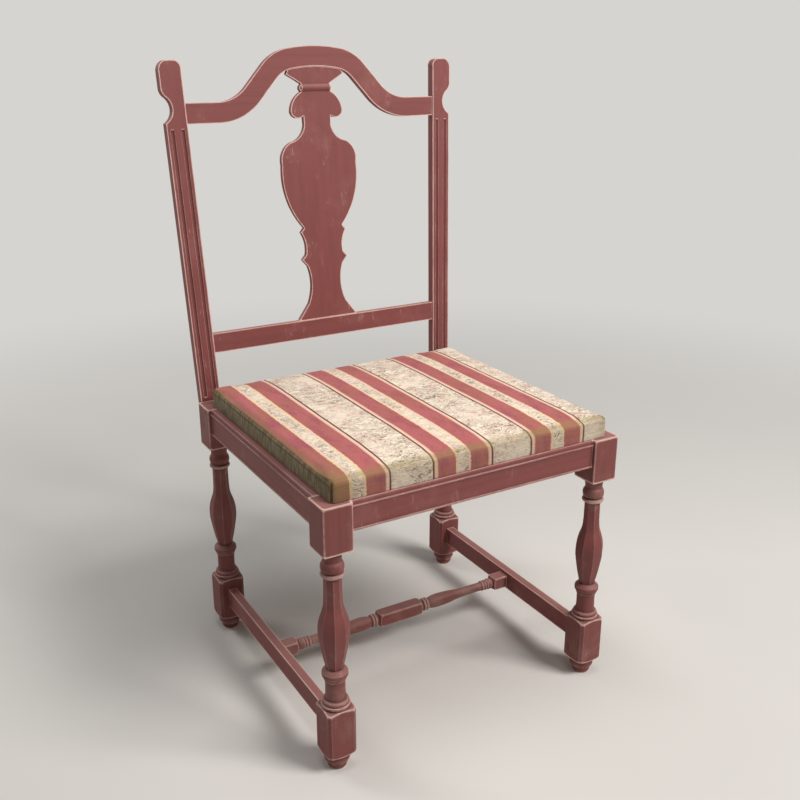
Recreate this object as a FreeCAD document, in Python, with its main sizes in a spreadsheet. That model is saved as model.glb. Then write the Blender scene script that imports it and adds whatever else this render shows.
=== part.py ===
"""A painted side chair with turned legs, a fretted splat and a loose striped seat.

Lengths are millimetres and angles degrees. X runs to the right as seen from the front,
and left and right in names are as seen from there. Y runs from the front legs to the back,
Z is up from the floor. Pieces are drawn with
Y measured from the front leg axes, and move together to the middle of the chair at the end.
"""
import FreeCAD, Part
import math
import os
import re
from types import SimpleNamespace

from FreeCAD import Vector

doc = FreeCAD.newDocument("side_chair")

# Driving dimensions
SIZES = {
    # Seat frame and leg stock
    "frame_width": "450",
    "frame_depth": "417",
    "frame_height": "416",
    "leg_stock": "44",
    "upper_block_height": "70",
    "lower_block_height": "77",
    "lower_block_chamfer": "4",
    # Leg turnings, from the floor up
    "foot_height": "25",
    "foot_diameter": "27",
    "foot_ring_diameter": "37",
    "base_ring_height": "12",
    "base_ring_diameter": "41",
    "shoulder_drop": "5",
    "shaft_height": "28",
    "shaft_diameter": "28",
    "collar_height": "21",
    "collar_diameter": "37",
    "ring_height": "6",
    "ring_diameter": "33",
    "bead_height": "18",
    "bead_diameter": "32",
    "neck_height": "15",
    "neck_diameter": "30",
    "groove_depth": "2",
    # Eight flats of the leg's baluster, measured across the flats
    "baluster_neck": "23.5",
    "baluster_break": "25.5",
    "baluster_belly": "41",
    "baluster_foot": "22.5",
    # Seat rails and their tenons
    "rail_height": "44",
    "rail_thickness": "22",
    "rail_inset": "6",
    "rail_moulding": "10",
    "rail_bead": "3.6",
    "rail_bead_stand": "1.4",
    "rail_tenon_length": "16",
    "rail_tenon_thickness": "9",
    "rail_tenon_shoulder": "6",
    # Side stretchers and the turned stretcher between them
    "stretcher_thickness": "14",
    "stretcher_height": "32",
    "stretcher_level": "67",
    "stretcher_tenon_length": "14",
    "stretcher_tenon_thickness": "7",
    "stretcher_tenon_shoulder": "5",
    "medial_stock": "22",
    "medial_level": "65.5",
    "medial_block_length": "80",
    "medial_end_length": "24",
    "medial_tenon_diameter": "12",
    "medial_tenon_length": "10",
    # Back: lean, posts and their housing in the rear legs
    "back_rake": "4",
    "back_splay": "1.7",
    "post_width": "33",
    "post_thickness": "16",
    "post_rise": "533",
    "post_tail": "68",
    "post_housing": "1",
    "finial_height": "91",
    "flute_radius": "3.2",
    "flute_depth": "2",
    "flute_spacing": "16.5",
    "flute_top": "432",
    "flute_bottom": "8",
    # Crest rail, a band of even depth along arcs and straights
    "crest_level": "455",
    "crest_rise": "83",
    "crest_depth": "31.5",
    "crest_thickness": "12",
    "crest_apex_radius": "267",
    "crest_apex_angle": "9.4",
    "crest_shoulder_radius": "61",
    "crest_slope_angle": "47.7",
    "crest_foot_radius": "80",
    "back_setback": "2.5",
    "back_tenon_length": "18",
    "back_tenon_thickness": "6",
    "back_tenon_shoulder": "5",
    # Cross rail and splat
    "cross_rail_level": "94",
    "cross_rail_height": "32",
    "cross_rail_thickness": "12",
    "splat_width": "135",
    "splat_thickness": "9",
    "splat_setback": "1",
    "splat_bead_stand": "2.5",
    "splat_cap_overhang": "6.5",
    "tongue_width": "60",
    "tongue_thickness": "5",
    "tongue_length": "8",
    # Corner braces
    "brace_reach": "76",
    "brace_height": "24",
    "brace_drop": "6",
    "brace_gap": "4",
    # Loose seat
    "seat_front_reveal": "8",
    "seat_side_reveal": "15",
    "seat_rear_reveal": "24",
    "seat_height": "32",
    "seat_crown": "4",
    "seat_draw": "2.5",
    "seat_corner_radius": "14",
    "seat_edge_radius": "9",
    "board_thickness": "10",
    "cover_thickness": "1.2",
    "cover_margin": "36",
    "batten_width": "20",
    "batten_thickness": "12",
    "batten_play": "2",
    # Fits
    "glue_gap": "0.1",
    "rest_gap": "0.3",
    "overrun": "5",
}

# Outline tables, written as shares of the sizes that they follow
FOOT_STEP_SHARE = 0.45
COLLAR_FLAT_SHARE = 0.65
BEAD_BEVEL_SHARE = 0.28
BALUSTER_BELLY_SHARE = 0.382
BALUSTER_BREAK_SHARE = 0.62
BALUSTER_SWELL_SHARES = (0.62, 0.555)
BALUSTER_TAPER_SHARES = (0.66, 0.205)
FINIAL_WAIST_SHARES = (0.62, 0.27)
FINIAL_CURL_SHARES = (0.82, 0.41)
FINIAL_CHEEK_SHARES = (0.985, 0.475)
FINIAL_BULGE_SHARES = (1.05, 0.55)
FINIAL_BULGE_TOP_SHARE = 0.82
FINIAL_OUTER_ROUND_SHARES = (0.98, 0.93)
FINIAL_CROWN_SHARES = (0.76, 1.0, 0.36)
FINIAL_INNER_ROUND_SHARES = (0.08, 0.955)
FINIAL_INNER_SHARE = 0.84
# Splat's right side from the cross rail up: half widths, then heights
SPLAT_BASE_SHARE = 0.815
SPLAT_FOOT_SHARES = (0.518, 0.065)
SPLAT_WAIST_SHARES = ((0.404, 0.151), (0.481, 0.222))
SPLAT_RIDGE_SHARES = (0.622, 0.249)
SPLAT_RIDGE_TOP_SHARES = (0.511, 0.268)
SPLAT_STEM_SHARES = ((0.503, 0.312), (0.612, 0.36))
SPLAT_NOTCH_SHARES = (0.52, 0.378)
SPLAT_URN_SHARES = ((0.867, 0.471), (1.0, 0.629))
SPLAT_SHOULDER_SHARES = ((0.941, 0.685), (0.741, 0.715))
SPLAT_NECK_SHARES = ((0.459, 0.741), (0.354, 0.78))
SPLAT_EAR_NOTCH_SHARES = (0.363, 0.816)
SPLAT_EAR_LOBE_SHARES = ((0.533, 0.806), (0.687, 0.832))
SPLAT_EAR_TOP_SHARES = ((0.63, 0.866), (0.381, 0.906))
SPLAT_BEAD_SHARES = ((0.425, 0.921), (0.364, 0.934))
SPLAT_CAP_SHARES = ((0.504, 0.948), (0.75, 0.971))
# Medial stretcher's turning from its middle block out to its end block: lengths, then radii
MEDIAL_RING_SHARE = 0.15
MEDIAL_VASE_SHARES = ((0.15, 0.76), (0.29, 1.0), (0.9, 0.58))
MEDIAL_COLLAR_SHARES = (0.9, 0.965)
MEDIAL_RISE_SHARE = 0.96
MEDIAL_STEM_SHARE = 0.58
MEDIAL_COLLAR_RISE_SHARE = 0.82
MEDIAL_SHOULDER_SHARE = 0.25
# Seat's rounded edge: heights, then distances in from the side
SEAT_EDGE_SHARES = ((0, 0), (0.7, 0.3), (1, 1))

sheet = doc.addObject("Spreadsheet::Sheet", "sizes")
for row, (alias, value) in enumerate(SIZES.items(), start=1):
    sheet.set(f"A{row}", alias)
    sheet.set(f"B{row}", value)
    sheet.setAlias(f"B{row}", alias)
doc.recompute()
mm = SimpleNamespace(**{alias: float(sheet.get(alias)) for alias in SIZES})


# Drawing helpers
def linked(text):
    """An expression in which each alias of the sheet is named in full."""
    def sheet_cell(match):
        word = match.group()
        return f"sizes.{word}" if word in SIZES else word

    return re.sub(r"[a-z_]{4,}", sheet_cell, text)


def bind(thing, **expressions):
    for name, text in expressions.items():
        thing.setExpression(name, linked(text))
    return thing


def place(thing, x="0", y="0", z="0"):
    for axis, text in zip("xyz", (x, y, z)):
        thing.setExpression(f".Placement.Base.{axis}", linked(text))
    return thing


def turn(thing, axis, angle):
    """Turns a piece about one axis, by an angle or by an expression of the sheet."""
    thing.Placement.Rotation = FreeCAD.Rotation(axis, 1)
    thing.setExpression(".Placement.Rotation.Angle", linked(angle))
    return thing


class Outline:
    """A closed outline of straight lines and arcs in a sketch plane."""

    def __init__(self, across, along):
        self.start = Vector(across, along, 0)
        self.pen = self.start
        self.edges = []

    def line(self, across, along):
        point = Vector(across, along, 0)
        if not point.isEqual(self.pen, 1e-7):
            self.edges.append(Part.LineSegment(self.pen, point))
        self.pen = point
        return self

    def arc(self, via, point):
        end = Vector(*point, 0)
        self.edges.append(Part.Arc(self.pen, Vector(*via, 0), end))
        self.pen = end
        return self

    def close(self):
        return self.line(self.start.x, self.start.y).edges


def rectangle(across, along, middle=(0, 0)):
    """Edges of a rectangle round a middle point."""
    left, low = middle[0] - across / 2, middle[1] - along / 2
    right, high = middle[0] + across / 2, middle[1] + along / 2
    return Outline(left, low).line(right, low).line(right, high).line(left, high).close()


def new_body(name):
    return doc.addObject("PartDesign::Body", name)


def sketch(body, name, role, edges):
    drawing = body.newObject("Sketcher::SketchObject", name)
    plane = next(feature for feature in body.Origin.OriginFeatures if feature.Role == role)
    drawing.AttachmentSupport = [(plane, "")]
    drawing.MapMode = "FlatFace"
    drawing.addGeometry(edges, False)
    return drawing


def pad(body, name, role, edges, length, side="One side", back=False):
    feature = body.newObject("PartDesign::Pad", name)
    feature.Profile = sketch(body, f"{name}_outline", role, edges)
    feature.SideType = side
    feature.Reversed = back
    return bind(feature, Length=length)


def groove(body, name, edges, role="XZ_Plane", axis="V_Axis"):
    feature = body.newObject("PartDesign::Groove", name)
    profile = sketch(body, f"{name}_outline", role, edges)
    feature.Profile = profile
    feature.ReferenceAxis = (profile, [axis])
    feature.Angle = 360
    return feature


def box(name, lengths, corner):
    block = doc.addObject("Part::Box", name)
    bind(block, Length=lengths[0], Width=lengths[1], Height=lengths[2])
    return place(block, *corner)


def rod(name, diameter, length, corner=("0", "0", "0")):
    cylinder = doc.addObject("Part::Cylinder", name)
    bind(cylinder, Radius=f"({diameter}) / 2", Height=length)
    return place(cylinder, *corner)


def placed(thing, name, x="0", y="0", z="0"):
    """The same shape once more, at a place of its own."""
    link = doc.addObject("App::Link", name)
    link.LinkedObject = thing
    return place(link, x, y, z)


def group(name, things):
    compound = doc.addObject("Part::Compound", name)
    compound.Links = things
    return compound


def fused(name, things):
    fuse = doc.addObject("Part::MultiFuse", name)
    fuse.Shapes = things
    return fuse


def cut(name, base, tools):
    result = doc.addObject("Part::Cut", name)
    result.Base = base
    result.Tool = tools[0] if len(tools) == 1 else fused(f"{name}_waste", tools)
    return result


def common(name, base, tool):
    result = doc.addObject("Part::Common", name)
    result.Base = base
    result.Tool = tool
    return result


# Places that several pieces share
SIDES = {"left": -1, "right": 1}
BLOCK_RADIUS = mm.leg_stock / math.sqrt(2)
CLEAR = BLOCK_RADIUS + mm.overrun
COLLAR_TOP = (
    mm.foot_height + mm.lower_block_height + mm.base_ring_height + mm.shaft_height + mm.collar_height
)
BLOCK_BOTTOM = mm.frame_height - mm.upper_block_height
RING_BOTTOM = BLOCK_BOTTOM - mm.neck_height - mm.bead_height - mm.ring_height


# Turned and faceted leg
def foot_turning():
    ring = mm.foot_ring_diameter / 2
    sole = mm.foot_diameter / 2
    outline = Outline(CLEAR, -mm.overrun).line(sole, -mm.overrun).line(sole, 0)
    outline.line(ring, mm.foot_height * FOOT_STEP_SHARE).line(ring, mm.foot_height)
    return outline.line(CLEAR, mm.foot_height).close()


def lower_turning():
    """Sloped shoulder of the lower block, two base rings, the shaft and the collar."""
    top = mm.foot_height + mm.lower_block_height
    ring = mm.base_ring_diameter / 2
    step = top + mm.base_ring_height / 2
    shaft = mm.shaft_diameter / 2
    shaft_bottom = top + mm.base_ring_height
    shaft_top = shaft_bottom + mm.shaft_height
    collar = mm.collar_diameter / 2
    outline = Outline(CLEAR, top - mm.shoulder_drop).line(ring, top).line(ring, step)
    outline.line(ring - mm.groove_depth, step).line(ring - mm.groove_depth, shaft_bottom)
    outline.line(shaft, shaft_bottom).line(shaft, shaft_top).line(collar, shaft_top)
    outline.line(collar, shaft_top + mm.collar_height * COLLAR_FLAT_SHARE)
    outline.line(mm.baluster_foot / 2 + mm.groove_depth, COLLAR_TOP)
    return outline.line(CLEAR, COLLAR_TOP).close()


def upper_turning():
    """Ring, bead and neck under the seat block."""
    ring = mm.ring_diameter / 2
    bead = mm.bead_diameter / 2
    neck = mm.neck_diameter / 2
    bead_bottom = RING_BOTTOM + mm.ring_height
    neck_bottom = bead_bottom + mm.bead_height
    bevel = mm.bead_height * BEAD_BEVEL_SHARE
    outline = Outline(CLEAR, RING_BOTTOM).line(ring, RING_BOTTOM).line(ring, bead_bottom)
    outline.line(bead - mm.groove_depth, bead_bottom).line(bead, bead_bottom + bevel)
    outline.line(bead, neck_bottom).line(neck, neck_bottom).line(neck, BLOCK_BOTTOM)
    return outline.line(CLEAR, BLOCK_BOTTOM).close()


def facet_outline():
    """What one flat of the eight sided baluster takes off the blank."""
    length = RING_BOTTOM - COLLAR_TOP
    belly = mm.baluster_belly / 2

    def point(width, share):
        return (width, COLLAR_TOP + length * share)

    spread = belly - mm.baluster_break / 2
    swell = point(mm.baluster_break / 2 + spread * BALUSTER_SWELL_SHARES[0], BALUSTER_SWELL_SHARES[1])
    taper_spread = belly - mm.baluster_foot / 2
    taper = point(mm.baluster_foot / 2 + taper_spread * BALUSTER_TAPER_SHARES[0], BALUSTER_TAPER_SHARES[1])
    outline = Outline(CLEAR, COLLAR_TOP).line(mm.baluster_foot / 2, COLLAR_TOP)
    outline.arc(taper, point(belly, BALUSTER_BELLY_SHARE))
    outline.arc(swell, point(mm.baluster_break / 2, BALUSTER_BREAK_SHARE))
    outline.line(mm.baluster_neck / 2, RING_BOTTOM)
    return outline.line(CLEAR, RING_BOTTOM).close()


def make_leg():
    """One leg from a square blank: turned, faceted, and chamfered on its lower block."""
    leg = new_body("leg_turning")
    pad(leg, "leg_blank", "XY_Plane", rectangle(mm.leg_stock, mm.leg_stock), "frame_height")
    groove(leg, "foot_turning", foot_turning())
    groove(leg, "lower_turning", lower_turning())
    groove(leg, "upper_turning", upper_turning())
    flat = leg.newObject("PartDesign::Pocket", "baluster_flat")
    flat.Profile = sketch(leg, "baluster_flat_outline", "XZ_Plane", facet_outline())
    flat.Type = "ThroughAll"
    flat.SideType = "Symmetric"
    flats = leg.newObject("PartDesign::PolarPattern", "baluster_flats")
    flats.Originals = [flat]
    flats.Axis = (next(feature for feature in leg.Origin.OriginFeatures if feature.Role == "Z_Axis"), [""])
    flats.Angle = 360
    flats.Occurrences = 8
    leg.Tip = flats
    doc.recompute()
    half = mm.leg_stock / 2
    block_middle = mm.foot_height + mm.lower_block_height / 2

    def on_lower_block(edge):
        middle = edge.CenterOfMass
        corner = math.isclose(abs(middle.x), half) and math.isclose(abs(middle.y), half)
        return corner and abs(middle.z - block_middle) < mm.lower_block_height / 2

    names = [f"Edge{i}" for i, edge in enumerate(flats.Shape.Edges, start=1) if on_lower_block(edge)]
    chamfer = leg.newObject("PartDesign::Chamfer", "lower_block_chamfers")
    chamfer.Base = (flats, names)
    bind(chamfer, Size="lower_block_chamfer")
    leg.Tip = chamfer
    return leg


# Seat rails and stretchers
def rail_section():
    """A seat rail's section: a bead along the bottom edge, a moulding along the top."""
    face = -mm.rail_thickness / 2
    stand = face - mm.rail_bead_stand
    strip = mm.rail_height - mm.rail_moulding
    outline = Outline(-face, 0).line(face, 0).arc((stand, mm.rail_bead / 2), (face, mm.rail_bead))
    outline.line(face, strip).arc((stand, strip + mm.rail_bead / 2), (face, strip + mm.rail_bead))
    shoulder = mm.rail_height - mm.rail_bead
    lip = face + mm.rail_bead_stand
    middle = (face + mm.rail_bead_stand / 4, shoulder + mm.rail_bead / 2)
    outline.line(face, shoulder).arc(middle, (lip, mm.rail_height))
    return outline.line(-face, mm.rail_height).close()


def make_rail(name, section, clear_length, angle, x, y):
    rail = new_body(name)
    pad(rail, f"{name}_bar", "YZ_Plane", section, clear_length, side="Symmetric")
    tenon_height = mm.rail_height - 2 * mm.rail_tenon_shoulder
    tenon = rectangle(mm.rail_tenon_thickness, tenon_height, (0, mm.rail_height / 2))
    length = f"{clear_length} + 2 * rail_tenon_length"
    pad(rail, f"{name}_tenons", "YZ_Plane", tenon, length, side="Symmetric")
    turn(rail, Vector(0, 0, 1), str(angle))
    return place(rail, x, y, "frame_height - rail_height")


def rail_mortise(name, clear_length, along_x, x, y):
    """The room for both tenons of a rail."""
    length = f"({clear_length} + 2 * (rail_tenon_length + glue_gap))"
    thickness = "(rail_tenon_thickness + 2 * glue_gap)"
    height = "rail_height - 2 * (rail_tenon_shoulder - glue_gap)"
    low = "frame_height - rail_height + rail_tenon_shoulder - glue_gap"
    lengths = (length, thickness, height) if along_x else (thickness, length, height)
    return box(name, lengths, (f"{x} - {lengths[0]} / 2", f"{y} - {lengths[1]} / 2", low))


def make_stretcher(name, x):
    bar = new_body(name)
    clear_length = "frame_depth - leg_stock"
    pad(bar, f"{name}_bar", "YZ_Plane", rectangle(mm.stretcher_thickness, mm.stretcher_height), clear_length,
        side="Symmetric")
    tenon = rectangle(mm.stretcher_tenon_thickness, mm.stretcher_height - 2 * mm.stretcher_tenon_shoulder)
    length = f"{clear_length} + 2 * stretcher_tenon_length"
    pad(bar, f"{name}_tenons", "YZ_Plane", tenon, length, side="Symmetric")
    turn(bar, Vector(0, 0, 1), "90")
    return place(bar, x, "frame_depth / 2", "stretcher_level")


def stretcher_mortise(name, x):
    length = "(frame_depth - leg_stock + 2 * (stretcher_tenon_length + glue_gap))"
    thickness = "(stretcher_tenon_thickness + 2 * glue_gap)"
    height = "(stretcher_height - 2 * (stretcher_tenon_shoulder - glue_gap))"
    corner = (f"{x} - {thickness} / 2", f"frame_depth / 2 - {length} / 2", f"stretcher_level - {height} / 2")
    return box(name, (thickness, length, height), corner)


def medial_turning():
    """What the lathe takes off between the middle block and one end block."""
    half = mm.medial_stock / 2
    clear = mm.medial_stock / math.sqrt(2) + mm.overrun
    first = mm.medial_block_length / 2
    last = (mm.frame_width - mm.stretcher_thickness) / 2 - mm.medial_end_length
    shoulder = half * MEDIAL_SHOULDER_SHARE
    outline = Outline(first - shoulder, clear)

    def cut_to(share, radius_share):
        outline.line(first + (last - first) * share, half * radius_share)

    outline.line(first + shoulder, half * MEDIAL_RISE_SHARE)
    cut_to(MEDIAL_RING_SHARE, MEDIAL_RISE_SHARE)
    for share, radius_share in MEDIAL_VASE_SHARES:
        cut_to(share, radius_share)
    for share in MEDIAL_COLLAR_SHARES:
        cut_to(share, MEDIAL_COLLAR_RISE_SHARE)
    cut_to(MEDIAL_COLLAR_SHARES[1], MEDIAL_STEM_SHARE)
    outline.line(last + shoulder, clear)
    return outline.close()


def make_medial_stretcher():
    bar = new_body("medial_stretcher")
    clear_length = "frame_width - stretcher_thickness"
    blank = rectangle(mm.medial_stock, mm.medial_stock)
    pad(bar, "medial_blank", "YZ_Plane", blank, clear_length, side="Symmetric")
    turning = groove(bar, "medial_turning", medial_turning(), role="XY_Plane", axis="H_Axis")
    mirror = bar.newObject("PartDesign::Mirrored", "medial_turning_mirrored")
    mirror.Originals = [turning]
    planes = {feature.Role: feature for feature in bar.Origin.OriginFeatures}
    mirror.MirrorPlane = (planes["YZ_Plane"], [""])
    bar.Tip = mirror
    tenon = [Part.Circle(Vector(0, 0, 0), Vector(0, 0, 1), mm.medial_tenon_diameter / 2)]
    length = f"{clear_length} + 2 * medial_tenon_length"
    pad(bar, "medial_tenons", "YZ_Plane", tenon, length, side="Symmetric")
    return place(bar, "0", "frame_depth / 2", "medial_level")


# Back, drawn upright in its own plane and then leaned on the rear legs
def lean(thing, depth="0"):
    """Sets a piece of the back against the rear leg blocks, or a depth behind them, at the rake."""
    turn(thing, Vector(1, 0, 0), "-back_rake")
    y = f"frame_depth + leg_stock / 2 - post_housing + {depth} * cos(back_rake)"
    return place(thing, "0", y, f"frame_height - {depth} * sin(back_rake)")


def post_inner(level):
    """Distance of a post's inner edge from the middle of the back at a level."""
    splay = math.radians(mm.back_splay)
    return mm.frame_width / 2 + level * math.tan(splay) - mm.post_width / 2 / math.cos(splay)


def post_outline(side):
    """A post's front outline with its finial, outer edge to one side."""
    half = mm.post_width / 2
    lip = mm.post_rise - mm.finial_height

    def point(across, along):
        return (side * (mm.post_width * across - half), lip + mm.finial_height * along)

    outline = Outline(*point(0, 0)).line(side * -half, -mm.post_tail).line(side * half, -mm.post_tail)
    outline.line(*point(1, 0)).arc(point(*FINIAL_WAIST_SHARES), point(*FINIAL_CURL_SHARES))
    outline.arc(point(*FINIAL_CHEEK_SHARES), point(*FINIAL_BULGE_SHARES))
    outline.line(*point(FINIAL_BULGE_SHARES[0], FINIAL_BULGE_TOP_SHARE))
    outer, crown, inner = FINIAL_CROWN_SHARES
    outline.arc(point(*FINIAL_OUTER_ROUND_SHARES), point(outer, crown)).line(*point(inner, crown))
    outline.arc(point(*FINIAL_INNER_ROUND_SHARES), point(0, FINIAL_INNER_SHARE))
    return outline.close()


def make_post(name, side):
    """One back post, before its mortises and screw holes are cut."""
    body = new_body(f"{name}_board")
    pad(body, f"{name}_thickness", "XZ_Plane", post_outline(side), "post_thickness", back=True)
    flutes = []
    for index in (-1, 1):
        flank = "inner" if index < 0 else "outer"
        flute = rod(f"{name}_flute_{flank}", "2 * flute_radius", "flute_top - flute_bottom")
        across = f"{index * side} * flute_spacing / 2"
        flutes.append(place(flute, across, "flute_depth - flute_radius", "flute_bottom"))
    fluted = cut(f"{name}_fluted", body, flutes)
    turn(fluted, Vector(0, 1, 0), f"{side} * back_splay")
    return place(fluted, f"{side} * frame_width / 2")


def crest_edge(offset):
    """Right half of the crest's centre line, shifted outwards: arcs and points from the top."""
    apex = math.radians(mm.crest_apex_angle)
    slope = math.radians(mm.crest_slope_angle)
    drop = mm.crest_apex_radius * (1 - math.cos(apex))
    drop += mm.crest_shoulder_radius * (math.cos(apex) - math.cos(slope))
    drop += mm.crest_foot_radius * (1 - math.cos(slope))
    straight = (mm.crest_rise - drop) / math.sin(slope)

    def swing(centre, radius, heading):
        return (centre[0] + radius * math.sin(heading), centre[1] + radius * math.cos(heading))

    top = mm.crest_level + mm.crest_rise
    apex_centre = (0, top - mm.crest_apex_radius)
    apex_end = swing(apex_centre, mm.crest_apex_radius, apex)
    shoulder_centre = swing(apex_end, -mm.crest_shoulder_radius, apex)
    shoulder_end = swing(shoulder_centre, mm.crest_shoulder_radius, slope)
    foot_start = (shoulder_end[0] + straight * math.cos(slope), shoulder_end[1] - straight * math.sin(slope))
    foot_centre = swing(foot_start, mm.crest_foot_radius, slope)
    apex_radius = mm.crest_apex_radius + offset
    shoulder_radius = mm.crest_shoulder_radius + offset
    foot_radius = mm.crest_foot_radius - offset
    return {
        "top": (0, top + offset),
        "apex": (swing(apex_centre, apex_radius, apex / 2), swing(apex_centre, apex_radius, apex)),
        "shoulder": (swing(shoulder_centre, shoulder_radius, (apex + slope) / 2),
                     swing(shoulder_centre, shoulder_radius, slope)),
        "shoulder_round": (*shoulder_centre, shoulder_radius),
        "slope": swing(foot_centre, -foot_radius, slope),
        "foot": (swing(foot_centre, -foot_radius, slope / 2), swing(foot_centre, -foot_radius, 0)),
    }


def mirrored(point):
    return (-point[0], point[1])


def crest_outline():
    upper = crest_edge(mm.crest_depth / 2)
    lower = crest_edge(-mm.crest_depth / 2)
    top_end = mm.crest_level + mm.crest_depth / 2
    low_end = mm.crest_level - mm.crest_depth / 2
    outline = Outline(-post_inner(top_end), top_end).line(*mirrored(upper["foot"][1]))
    outline.arc(mirrored(upper["foot"][0]), mirrored(upper["slope"])).line(*mirrored(upper["shoulder"][1]))
    outline.arc(mirrored(upper["shoulder"][0]), mirrored(upper["apex"][1]))
    outline.arc(upper["top"], upper["apex"][1]).arc(*upper["shoulder"]).line(*upper["slope"])
    outline.arc(*upper["foot"]).line(post_inner(top_end), top_end)
    outline.line(post_inner(low_end), low_end).line(*lower["foot"][1]).arc(lower["foot"][0], lower["slope"])
    outline.line(*lower["shoulder"][1]).arc(lower["shoulder"][0], lower["apex"][1])
    outline.arc(lower["top"], mirrored(lower["apex"][1]))
    outline.arc(mirrored(lower["shoulder"][0]), mirrored(lower["shoulder"][1]))
    outline.line(*mirrored(lower["slope"]))
    outline.arc(mirrored(lower["foot"][0]), mirrored(lower["foot"][1])).line(-post_inner(low_end), low_end)
    return outline.close()


def back_tenons(name, body, level, depth, thickness):
    """Two tenons at the ends of a rail of the back, set in the middle of its thickness."""
    height = depth - 2 * mm.back_tenon_shoulder
    root = post_inner(level - height / 2) - mm.back_tenon_length
    edges = []
    for side in SIDES.values():
        tip = post_inner(level - height / 2) + mm.back_tenon_length
        edges += rectangle(tip - root, height, (side * (tip + root) / 2, level))
    tenons = pad(body, name, "XZ_Plane", edges, "back_tenon_thickness", back=True)
    place_depth = f"-({thickness} - back_tenon_thickness) / 2"
    tenons.Profile[0].setExpression(".AttachmentOffset.Base.z", linked(place_depth))
    return tenons


def back_mortise(name, side, level, depth, thickness):
    """Room in a post for a back rail's tenon."""
    height = f"({depth} - 2 * (back_tenon_shoulder - glue_gap))"
    reach = "(back_tenon_length + glue_gap)"
    block = doc.addObject("Part::Box", name)
    bind(block, Length=f"2 * {reach}", Width="back_tenon_thickness + 2 * glue_gap", Height=height)
    middle = post_inner(level - (size_of(depth) - 2 * mm.back_tenon_shoulder) / 2)
    low = f"{level} - {height} / 2"
    y = f"back_setback + ({thickness} - back_tenon_thickness) / 2 - glue_gap"
    return place(block, f"{side * middle} - {reach}", y, low)


def size_of(text):
    """The number that an expression of the sheet stands for."""
    return float(sheet.evalExpression(linked(text)))


def make_crest():
    crest = new_body("crest_board")
    pad(crest, "crest_thickness_pad", "XZ_Plane", crest_outline(), "crest_thickness", back=True)
    back_tenons("crest_tenons", crest, mm.crest_level, mm.crest_depth, "crest_thickness")
    return place(crest, "0", "back_setback")


def make_cross_rail():
    rail = new_body("cross_rail_board")
    low = mm.cross_rail_level - mm.cross_rail_height / 2
    high = mm.cross_rail_level + mm.cross_rail_height / 2
    outline = Outline(-post_inner(low), low).line(post_inner(low), low).line(post_inner(high), high)
    edges = outline.line(-post_inner(high), high).close()
    pad(rail, "cross_rail_thickness_pad", "XZ_Plane", edges, "cross_rail_thickness", back=True)
    back_tenons("cross_rail_tenons", rail, mm.cross_rail_level, mm.cross_rail_height, "cross_rail_thickness")
    return place(rail, "0", "back_setback")


SPLAT_LOW = mm.cross_rail_level + mm.cross_rail_height / 2 + mm.glue_gap
SPLAT_HIGH = mm.crest_level + mm.crest_rise - mm.crest_depth / 2 - mm.glue_gap


def splat_point(shares):
    width, height = shares
    return (mm.splat_width / 2 * width, SPLAT_LOW + (SPLAT_HIGH - SPLAT_LOW) * height)


def splat_steps():
    """Right side of the splat from the cross rail up: each step's point on the way and its end."""
    return [
        (None, SPLAT_FOOT_SHARES),
        SPLAT_WAIST_SHARES,
        (None, SPLAT_RIDGE_SHARES),
        (None, SPLAT_RIDGE_TOP_SHARES),
        SPLAT_STEM_SHARES,
        (None, SPLAT_NOTCH_SHARES),
        SPLAT_URN_SHARES,
        SPLAT_SHOULDER_SHARES,
        SPLAT_NECK_SHARES,
        (None, SPLAT_EAR_NOTCH_SHARES),
        SPLAT_EAR_LOBE_SHARES,
        SPLAT_EAR_TOP_SHARES,
        SPLAT_BEAD_SHARES,
        SPLAT_CAP_SHARES,
    ]


def splat_outline():
    """The whole board, its top scribed to the crest's underside."""
    under = crest_edge(-mm.crest_depth / 2 - mm.glue_gap)
    apex_end = under["apex"][1]
    middle, level, radius = under["shoulder_round"]

    def under_shoulder(overhang):
        across = apex_end[0] + overhang
        return (across, level + math.sqrt(radius ** 2 - (across - middle) ** 2))

    bend = under_shoulder(mm.splat_cap_overhang / 2)
    cap_corner = under_shoulder(mm.splat_cap_overhang)
    steps = [(via and splat_point(via), splat_point(end)) for via, end in splat_steps()]
    start = splat_point((SPLAT_BASE_SHARE, 0))
    outline = Outline(*start)
    for via, end in steps:
        if via:
            outline.arc(via, end)
        else:
            outline.line(*end)
    outline.line(*cap_corner).arc(bend, apex_end).arc(under["top"], mirrored(apex_end))
    outline.arc(mirrored(bend), mirrored(cap_corner)).line(*mirrored(steps[-1][1]))
    starts = [start] + [end for via, end in steps[:-1]]
    for (via, end), back_to in zip(reversed(steps), reversed(starts)):
        if via:
            outline.arc(mirrored(via), mirrored(back_to))
        else:
            outline.line(*mirrored(back_to))
    return outline.close()


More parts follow.
